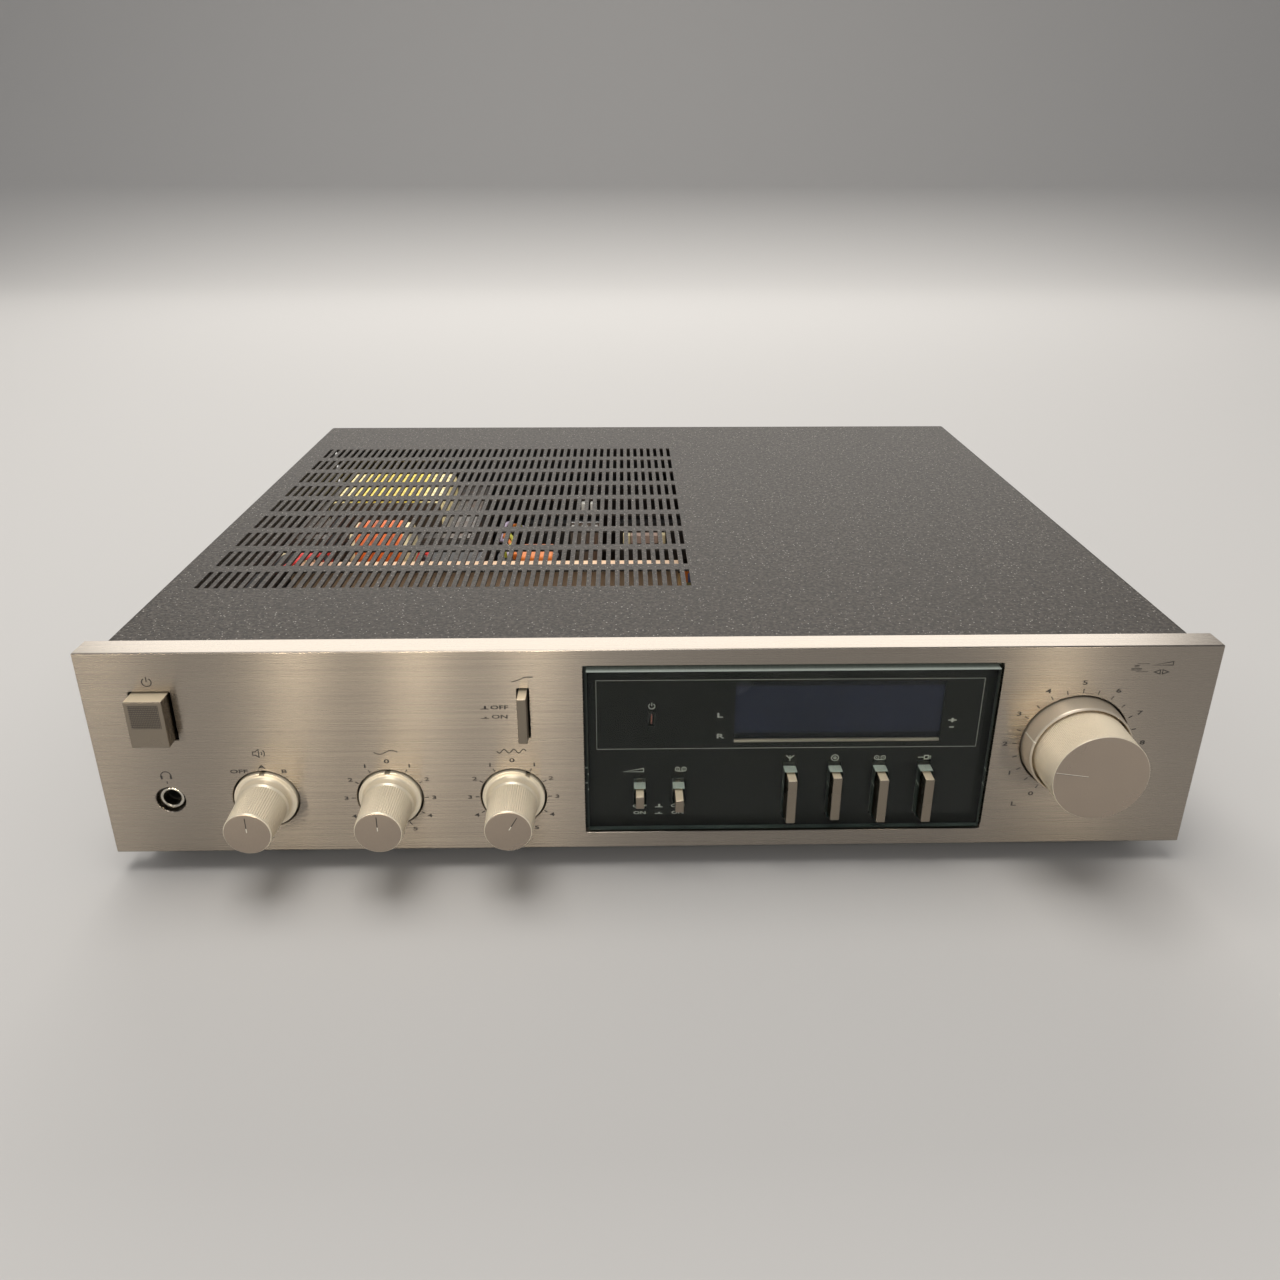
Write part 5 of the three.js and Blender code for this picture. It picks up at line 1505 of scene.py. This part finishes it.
def addGland():
    start, end = corners("cord_gland")[0][1], corners("cord_gland")[1][1]
    x, z = axisOf("cord_gland")
    bore, neck, wide = gland["bore"], gland["neck"], gland["radius"]
    ribs = []
    for number in range(gland["ribs"]):
        y = seatOut + 1.6 + gland["ribPitch"] * number
        ribs += [(wide - 0.2, y), (wide - 0.7, y + 0.2), (wide - 0.7, y + 0.6), (wide - 0.3, y + 0.8)]
    profile = [
        (bore, start), (wide - 0.5, start), (wide, start + 0.4), (wide, seatIn), (neck, seatIn),
        (neck, seatOut), (wide, seatOut), (wide, seatOut + 1.2), *ribs, (wide - 0.9, end),
        (bore + 0.4, end), (bore, end - 0.4),
    ]
    addPiece(
        "cord_bush", [turned(profile, (x, 0, z), 72, wrap=True)], [blackPlastic],
        replaces=["cord_gland"],
    )


addJacks()
addTerminals()
addPost()
addGland()


def addRearMarks():
    # Generic marks beside the connectors: channels, signs and polarity
    sheet = Sheet((rearHigh[1] + 0.02, rearHigh[1] + 0.08), side=-1)
    jackRight = corners("input_jack_block")[1][0]
    for words, z in jack["rows"].items():
        sheet.text(words, jackRight + 4.5, z, 3.0)
    for number, x in enumerate(jackColumns):
        sheet.text(str(number + 1), x, jack["rows"]["L"] + 11.0, 2.6)
        sheet.line([(-3.5, 0), (3.5, 0)], x, jack["rows"]["L"] + 8.2)
    low, high = corners("speaker_terminals")
    for number, x in enumerate(terminalPlaces()[1]):
        sheet.text("+" if number % 2 else "-", x, high[2] + 3.2, 2.8)
    for words, x in (("A", 0.75), ("B", 0.25)):
        sheet.text(words, low[0] + (high[0] - low[0]) * x, high[2] + 9.5, 3.2)
    x, z = axisOf("ground_post")
    for rise, half in ((0.0, 2.2), (-1.0, 1.4), (-2.0, 0.6)):
        sheet.line([(-half, rise), (half, rise)], x, z + 10.5)
    sheet.line([(0, 0), (0, 2.2)], x, z + 10.5)
    addPiece("rear_marks", sheet.shapes, [palePrint], even=False)


addRearMarks()
print("rear made")

# Inside, seen through the cooling slots
inside = {
    "canShoulder": 1.4,
    "wires": 4,
    "wireRadius": 1.2,
    "wirePitch": 2.3,
    "wireSplay": 2.2,
    "splayReach": 15.0,
    "wireSteps": 120,
    "loomRadius": 2.6,
    "plateY": -25.6,
    "coreRise": 7.0,
    "switchRise": 6.1,
    "sleeveRadius": 3.3,
    "sleeveEnds": (24.0, 10.0),
    "bobbinWall": 1.6,
    "leadRadius": 1.0,
    "coilEnd": 3.0,
}


def addCapacitor(name):
    # A can with a groove near its foot and a rolled rim, and a dark lid sunk in the rim
    low, high = corners(name)
    centre = (*middle(name)[:2], 0)
    radius, bottom, top = (high[0] - low[0]) / 2, low[2], high[2]
    rim = inside["canShoulder"]
    can = turned([
        (0, bottom), (radius - 1, bottom), (radius - 0.1, bottom + 1), (radius - 0.1, bottom + 4),
        (radius - 0.8, bottom + 5), (radius - 0.1, bottom + 6), (radius, top - rim),
        (radius - 0.4, top - 0.4), (radius - rim, top), (radius - 2.6, top), (radius - 2.8, top - 0.5),
        (0, top - 0.5),
    ], centre, 96, "z")
    lid = turned([
        (0, top - 0.8), (radius - 2.9, top - 0.8), (radius - 2.9, top - 0.45), (radius - 3.6, top - 0.3),
        (0, top - 0.3),
    ], centre, 96, "z", finish=1)
    addPiece(name + "_can", [can, lid], [sleeve, blackPlastic], replaces=[name])


def addWinding():
    # The coil stands above and below the core, between the two end walls of its bobbin
    low, high = corners("transformer_winding")
    x, z = axisOf("transformer_winding")
    outline = roundRect(high[0] - low[0], high[2] - low[2], 5.0, 6)
    start, end = low[1] + inside["bobbinWall"], high[1] - inside["bobbinWall"]
    levels = [
        (start, inset(outline, 0.8)), (start + 0.5, inset(outline, 0.2)), (start + 1.5, outline),
        (end - 1.5, outline), (end - 0.5, inset(outline, 0.2)), (end, inset(outline, 0.8)),
    ]
    walls = [
        layers([(place, inset(outline, 1.0)) for place in wall], "y", (x, 0, z), 1)
        for wall in ((low[1], start + 0.1), (end - 0.1, high[1]))
    ]
    addPiece(
        "coil", [layers(levels, "y", (x, 0, z)), *walls], [tape, bobbin],
        replaces=["transformer_winding"],
    )


def spline(points, count):
    # Catmull-Rom through the points, spaced evenly along its length
    points = np.asarray(points, float)
    padded = np.vstack([2 * points[0] - points[1], points, 2 * points[-1] - points[-2]])
    share = np.linspace(0, 1, 24, endpoint=False)[:, None]
    runs = []
    for before, start, end, after in zip(padded, padded[1:], padded[2:], padded[3:]):
        runs.append(0.5 * (
            2 * start + (end - before) * share + (2 * before - 5 * start + 4 * end - after) * share ** 2
            + (3 * start - before - 3 * end + after) * share ** 3
        ))
    curve = np.vstack([*runs, points[-1:]])
    gone = np.concatenate([[0], np.cumsum(np.linalg.norm(np.diff(curve, axis=0), axis=1))])
    wanted = np.linspace(0, gone[-1], count)
    return np.stack([np.interp(wanted, gone, curve[:, column]) for column in range(3)], -1)


def carried(path):
    # Two unit vectors across the path, carried along it without twist
    ahead = np.gradient(path, axis=0)
    ahead /= np.linalg.norm(ahead, axis=1, keepdims=True)
    first = np.zeros_like(path)
    side = np.cross(ahead[0], (0.0, 0.0, 1.0))
    for number, direction in enumerate(ahead):
        side = side - direction * np.dot(side, direction)
        side /= np.linalg.norm(side)
        first[number] = side
    return first, np.cross(ahead, first)


def tube(path, radius, sides=10, finish=0):
    # Circles of one radius across the path
    first, second = carried(path)
    angle = np.linspace(0, 2 * np.pi, sides, endpoint=False)[None, :, None]
    rings = path[:, None] + radius * (first[:, None] * np.cos(angle) + second[:, None] * np.sin(angle))
    return loft(rings, finish)


def addLoom():
    # Wires side by side, apart by 0.5 + splay exp(-(distance / reach)^2) where they cross the plate
    low, high = corners("wiring_loom")
    coreLow, coreHigh = corners("transformer_core")
    radius, plateY = inside["loomRadius"], inside["plateY"]
    startX, sideX, plateZ = high[0] - radius, low[0] + radius, high[2] - radius
    coreZ = coreHigh[2] + inside["coreRise"]
    route = spline([
        (startX, high[1], coreZ), (startX, coreLow[1] - 4, coreZ),
        (startX, coreLow[1] - 26.8, coreZ - 14), (startX, plateY, plateZ),
        ((startX + sideX) / 2, plateY - 25, plateZ), (sideX, low[1] + 30, upperZ + inside["switchRise"]),
        (sideX, low[1] + 9, upperZ), (sideX, low[1], upperZ),
    ], inside["wireSteps"])
    apart = 0.5 + inside["wireSplay"] * np.exp(-((route[:, 1] - plateY) / inside["splayReach"]) ** 2)
    shapes = []
    for number in range(inside["wires"]):
        path = route.copy()
        path[:, 0] += (number - (inside["wires"] - 1) / 2) * inside["wirePitch"] * apart
        shapes.append(tube(path, inside["wireRadius"], finish=number // 2))
    # Black sleeving on both sides of the plate
    behind, before = inside["sleeveEnds"]
    for covered in (route[:, 1] > plateY + behind, route[:, 1] < plateY - before):
        shapes.append(tube(route[covered], inside["sleeveRadius"], 16, 2))
    addPiece("mains_wires", shapes, [creamWire, redWire, rubber], replaces=["wiring_loom"])


def addLeads():
    # Leads from the tops of the two capacitors to the output module and to the relay
    moduleLow = corners("output_module_left")[0]
    top = corners("filter_capacitor_right")[1][2] - 0.6
    x, y = middle("filter_capacitor_right")[:2]
    shapes = []
    for number, (across, ahead) in enumerate([(-9.0, -7.0), (-6.4, -4.6), (-11.0, -2.0)]):
        aside = 2.3 * (number - 1)
        shapes.append(tube(spline([
            (x + across, y + ahead, top), (x + across, y + ahead + 1, top + 3.5),
            (x - 12 + aside, y + 20, top), (x - 18.5 + aside, y + 53, top - 10 + aside),
            (x - 17 + aside, y + 72, top - 12 - aside), (x - 15 + aside / 2, y + 88, top - 17),
            (moduleLow[0] + 0.5, moduleLow[1] + 3, top - 22 - 2.5 * number),
        ], 70), inside["leadRadius"], 8, number))
    x, y = middle("filter_capacitor_left")[:2]
    shapes.append(tube(spline([
        (x - 12.2, y - 4.0, top), (x - 12.4, y - 3.5, top + 3.0), (x - 17, y - 1, top + 1.5),
        (x - 21, y + 3, top - 7), (x - 26.8, y + 6, top - 15),
    ], 40), inside["leadRadius"] * 1.3, 8, 3))
    addPiece("module_leads", shapes, [violetWire, orangeBody, limeWire, redWire])


def addRelay():
    # An orange coil with cream ends lies on the contact block, its axis along X
    low, high = corners("speaker_relay")
    x, y = middle("speaker_relay")[:2]
    coil = (high[1] - low[1]) / 2
    axisZ, half = high[2] - coil, (high[0] - low[0]) / 2
    cheek, edge = coil - 1.1, half - inside["coilEnd"]
    centre = (x, y, axisZ)
    ends = [(0, -half), (cheek - 0.5, -half), (cheek, -half + 0.5), (cheek, -edge), (0, -edge)]
    left = turned(ends, centre, 96, "x", finish=1)
    right = turned([(radius, -place) for radius, place in ends], centre, 96, "x", finish=1)
    rise = [(0, -edge), (cheek + 0.1, -edge), (cheek + 0.3, -edge + 1.6), (coil - 0.2, -edge + 2.2)]
    wound = turned(rise + [(coil, -edge + 3), (coil, edge - 3)] + [
        (radius, -place) for radius, place in rise[::-1]
    ], centre, 96, "x")
    contacts = block((x - 11, y - 8, low[2]), (x + 11, y + 8, axisZ - coil + 1.2), 0.8, "z", 2)
    addPiece(
        "relay_coil", [left, wound, right, contacts], [orangeTape, creamBody, blackPlastic],
        replaces=["speaker_relay"],
    )


def addBoardParts():
    # Resistors, drums and blocks spread at random over the free parts of both boards
    boardLow, boardHigh = corners("main_board")
    top = boardHigh[2]
    draw = np.random.default_rng(7)
    drums, bars, blocks = [], [], []
    preampLow, preampHigh = corners("preamp_board")
    coreHigh = corners("transformer_core")[1]
    moduleFront = corners("output_module_left")[0][1]
    capacitorRight = corners("filter_capacitor_right")[1][0]
    relayLow = corners("speaker_relay")[0]
    zones = [
        (boardLow[0] + 5, boardLow[1] + 4, relayLow[0] - 4, 18, 4),
        (capacitorRight + 5, boardLow[1] + 5, boardHigh[0] - 5, 20, 18),
        (coreHigh[0] + 8, 24, boardHigh[0] - 5, moduleFront - 6, 34),
        (preampLow[0] + 8, -50, preampHigh[0] - 8, 60, 26),
        (preampLow[0] + 8, 66, preampHigh[0] - 8, 120, 12),
    ]
    for left, front, right, back, count in zones:
        columns = max(2, int(math.sqrt(count * (right - left) / (back - front))))
        rows = max(2, math.ceil(count / columns))
        for row in range(rows):
            for column in range(columns):
                x = left + (right - left) * (column + draw.uniform(0.25, 0.75)) / columns
                y = front + (back - front) * (row + draw.uniform(0.25, 0.75)) / rows
                kind = draw.integers(0, 3)
                size = draw.uniform(0.8, 1.3)
                if kind == 0:
                    wide, tall = 3.7 * size, top + 14.6 * size
                    drums.append(turned([
                        (0, top), (3.6 * size, top), (wide, top + 0.8), (3.4 * size, top + 1.4),
                        (wide, top + 2.0), (wide, top + 14 * size), (3.1 * size, tall), (0, tall),
                    ], (x, y, 0), 28, "z", finish=int(draw.integers(0, 3))))
                elif kind == 1:
                    bars.append(turned([
                        (0, x - 4.2), (0.3, x - 4.2), (0.3, x - 3.2), (1.2, x - 3.1), (1.3, x - 2.4),
                        (1.05, x - 1.8), (1.05, x + 1.8), (1.3, x + 2.4), (1.2, x + 3.1), (0.3, x + 3.2),
                        (0.3, x + 4.2), (0, x + 4.2),
                    ], (0, y, top + 1.4), 16, "x"))
                else:
                    low = (x - 4 * size, y - 2.2, top - 0.05)
                    high = (x + 4 * size, y + 2.2, top + 13 * size)
                    blocks.append(block(low, high, 0.7, "z", int(draw.integers(0, 3))))
    addPiece("board_drums", drums, [blackPlastic, blueSleeve, oliveBody])
    addPiece("board_resistors", bars, [tanBody])
    addPiece("board_film_parts", blocks, [orangeBody, tanBody, oliveBody])


def addTallParts():
    # A film capacitor on a can's lid, and the clamp, resistor and sensor on the output modules
    top = corners("filter_capacitor_right")[1][2] - 0.4
    x, y = middle("filter_capacitor_right")[:2]
    film = block((x - 4.5, y - 12, top), (x + 13.5, y + 6, top + 4.2), 1.2, "z")
    addPiece("can_film_part", [film], [orangeBody])
    low, high = corners("output_module_left")
    front = low[1] + 0.1
    x, top = high[0] - 9.5, high[2]
    shapes = [block((x - 9, front - 1.5, low[2] - 3), (x + 9, front, top + 1.5), 0.4)]
    for shift in (-8, -2, 4):
        tabLow, tabHigh = (x + shift, front - 2.6, top - 3), (x + shift + 4, front - 1.4, top - 0.5)
        shapes.append(block(tabLow, tabHigh, 0.4, finish=1))
    sinkFront = corners("heat_sink")[0][1] + 0.1
    for shift in (-2, 3.5):
        sensorLow, sensorHigh = (x + shift, sinkFront - 4.5, top + 6), (x + shift + 4, sinkFront, top + 12)
        shapes.append(block(sensorLow, sensorHigh, 0.6, finish=1))
    addPiece("module_clamp", shapes, [bareAluminium, whiteInsert])
    # A ceramic rod between two end caps
    right = corners("output_module_right")[0][0]
    rod = [
        block((right + 4, front - 6, 43), (right + 8.5, front, 49), 0.6, "x"),
        block((right + 8.6, front - 5.7, 43.2), (right + 25.4, front, 48.8), 0.6, "x", 1),
        block((right + 25.5, front - 6, 43), (right + 30, front, 49), 0.6, "x"),
    ]
    addPiece("emitter_resistor", rod, [creamBody, pinkBody])


bobbin = mouldedPlastic("bobbin", (0.05, 0.036, 0.022), 0.5)
blueSleeve = mouldedPlastic("blue_sleeve", (0.03, 0.06, 0.16), 0.35)
orangeBody = mouldedPlastic("orange_body", (0.72, 0.2, 0.03), 0.4)
tanBody = mouldedPlastic("tan_body", (0.5, 0.3, 0.13), 0.45)
creamBody = mouldedPlastic("cream_body", (0.85, 0.74, 0.46), 0.45)
pinkBody = mouldedPlastic("pink_body", (0.55, 0.40, 0.33), 0.5)
oliveBody = mouldedPlastic("olive_body", (0.11, 0.09, 0.03), 0.4)
creamWire = mouldedPlastic("cream_wire", (0.88, 0.78, 0.5), 0.4)
redWire = mouldedPlastic("red_wire", (0.75, 0.05, 0.045), 0.4)
violetWire = mouldedPlastic("violet_wire", (0.5, 0.42, 0.55), 0.4)
limeWire = mouldedPlastic("lime_wire", (0.5, 0.5, 0.05), 0.4)
bareAluminium = satinMetal("bare_aluminium", (0.4, 0.4, 0.4), 0.42, 500.0, 0.08)
addCapacitor("filter_capacitor_left")
addCapacitor("filter_capacitor_right")
addWinding()
addLoom()
addLeads()
addRelay()
addBoardParts()
addTallParts()
print("inside made")

# Finishes of the nodes that are kept as they are
kept = {
    "top_cover": cover,
    "bottom_tray": trayFinish,
    "sub_panel": zinc,
    "rear_panel": blackSteel,
    "window_mask": maskPrint,
    "display_board": board,
    "main_board": board,
    "preamp_board": board,
    "transformer_core": coreSteel,
    "heat_sink": blackAnodised,
    "output_module_left": blackPlastic,
    "output_module_right": blackPlastic,
    "power_switch": blackPlastic,
}
switches = ("filter_switch", "mode_switches", "selector_switches", "speaker_switch")
controls = ("bass_control", "treble_control", "volume_control")
shafts = ("speakers_shaft", "bass_shaft", "treble_shaft", "volume_shaft", "balance_sleeve")
kept.update({name: passivated for name in switches + controls})
kept.update({name: shaftSteel for name in shafts})
for name, finish in kept.items():
    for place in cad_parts[name].material_slots:
        place.material = finish
print("kept nodes finished")

# Stage: a pale floor that curves up into a backdrop
stage = {
    "floorFront": -4.0,
    "floorBack": 1.6,
    "bend": 1.0,
    "wallTop": 4.5,
    "half": 5.0,
    "colour": (0.60, 0.59, 0.575),
    "roughness": 0.9,
}


def addStage():
    # The bend is (bend sin a, bend (1 - cos a)) from the floor to the wall
    turn = np.linspace(0, np.pi / 2, 25)
    bend, start = stage["bend"], stage["floorBack"]
    profile = np.vstack([
        [(stage["floorFront"], 0)],
        np.stack([start + bend * np.sin(turn), bend * (1 - np.cos(turn))], -1),
        [(start + bend, stage["wallTop"])],
    ])
    points = np.zeros((2, len(profile), 3))
    points[0, :, 0], points[1, :, 0] = -stage["half"], stage["half"]
    points[:, :, 1:] = profile
    grid = np.arange(2 * len(profile)).reshape(2, -1)
    faces = np.stack([grid[0, :-1], grid[1, :-1], grid[1, 1:], grid[0, 1:]], -1)
    mesh = bpy.data.meshes.new("backdrop")
    mesh.from_pydata(points.reshape(-1, 3), [], faces.tolist())
    mesh.polygons.foreach_set("use_smooth", np.ones(len(mesh.polygons), bool))
    floor = bpy.data.objects.new("backdrop", mesh)
    bpy.context.scene.collection.objects.link(floor)
    net = Net("backdrop")
    net.finish(Base_Color=stage["colour"], Roughness=stage["roughness"], Specular_IOR_Level=0.0)
    floor.data.materials.append(net.material)


addStage()


def areaLamp(name, place, target, width, depth, power, colour=(1.0, 0.97, 0.93), lit=True):
    # A rectangle of light that the camera doesn't see; unlit, it shows on glossy faces only
    lamp = bpy.data.lights.new(name, "AREA")
    lamp.shape = "RECTANGLE"
    lamp.size = width
    lamp.size_y = depth
    lamp.energy = power
    lamp.color = colour
    holder = bpy.data.objects.new(name, lamp)
    holder.location = place
    holder.rotation_euler = (Vector(target) - Vector(place)).to_track_quat("-Z", "Y").to_euler()
    holder.visible_camera = False
    holder.visible_diffuse = lit
    bpy.context.scene.collection.objects.link(holder)


# Lamps, each with its place, target, width, depth and power: soft boxes overhead and behind, a weak
# fill in front, and a small one under the slots
lamps = {
    "overhead": ((-0.25, -0.1, 1.9), (0, 0, 0.05), 1.5, 1.0, 24.0),
    "rear": ((0, 1.7, 1.05), (0, 0, 0.08), 2.8, 0.9, 25.0),
    "fill": ((-0.25, -2.3, 1.65), (0, 0, 0.05), 0.7, 0.5, 8.0),
    "inside": ((-0.086, 0.01, 0.0945), (-0.086, 0.01, 0.0), 0.206, 0.20, 0.11),
}
# Narrow low lamps that only gloss sees draw the soft upright streaks on the brushed face:
# each with its x and its share of the power
streaks = {
    "power": 1.9,
    "colour": (1.0, 0.87, 0.68),
    "size": (0.015, 0.45),
    "y": -1.35,
    "z": 0.22,
    "target": (0, -0.15, 0.06),
    "lamps": ((-0.536, 1.0), (-0.343, 1.0), (-0.154, 0.8), (0.695, 0.8), (-0.85, 0.7)),
}
for name, values in lamps.items():
    areaLamp(name, *values)
for number, (x, share) in enumerate(streaks["lamps"]):
    areaLamp(
        f"streak_{number}", (x, streaks["y"], streaks["z"]), streaks["target"], *streaks["size"],
        streaks["power"] * share, streaks["colour"], lit=False,
    )
sky = {
    "colour": (0.80, 0.80, 0.82, 1),
    "strength": 0.32,
}


def addWorld():
    # An even pale grey all round
    world = bpy.data.worlds.new("studio")
    world.use_nodes = True
    bpy.context.scene.world = world
    background = world.node_tree.nodes["Background"]
    background.inputs["Color"].default_value = sky["colour"]
    background.inputs["Strength"].default_value = sky["strength"]


addWorld()

# Camera at the photograph's angle, in the part's frame
view = {
    "place": (-0.01115, -0.45958, 0.26510),
    "yaw": 1.097,
    "pitch": 21.148,
    "roll": 0.111,
    "lens": 27.05,
    "sensor": 36.0,
    "shiftY": -0.0875,
}


def addCamera():
    # Ahead is (sin yaw cos pitch, cos yaw cos pitch, -sin pitch); the roll turns right and up round it
    yaw, pitch, roll = (math.radians(view[name]) for name in ("yaw", "pitch", "roll"))
    ahead = Vector((math.sin(yaw) * math.cos(pitch), math.cos(yaw) * math.cos(pitch), -math.sin(pitch)))
    right = Vector((math.cos(yaw), -math.sin(yaw), 0))
    up = right.cross(ahead)
    turnedRight = right * math.cos(roll) + up * math.sin(roll)
    turnedUp = up * math.cos(roll) - right * math.sin(roll)
    camera = bpy.data.cameras.new("camera")
    camera.lens = view["lens"]
    camera.sensor_width = view["sensor"]
    camera.sensor_fit = "HORIZONTAL"
    camera.shift_y = view["shiftY"]
    camera.clip_start = 0.01
    holder = bpy.data.objects.new("camera", camera)
    axes = Matrix((turnedRight, turnedUp, -ahead)).transposed().to_4x4()
    holder.matrix_world = Matrix.Translation(view["place"]) @ axes
    bpy.context.scene.collection.objects.link(holder)
    bpy.context.scene.camera = holder


addCamera()
bpy.context.scene.view_settings.view_transform = "Standard"
print("stage, lamps and camera set")
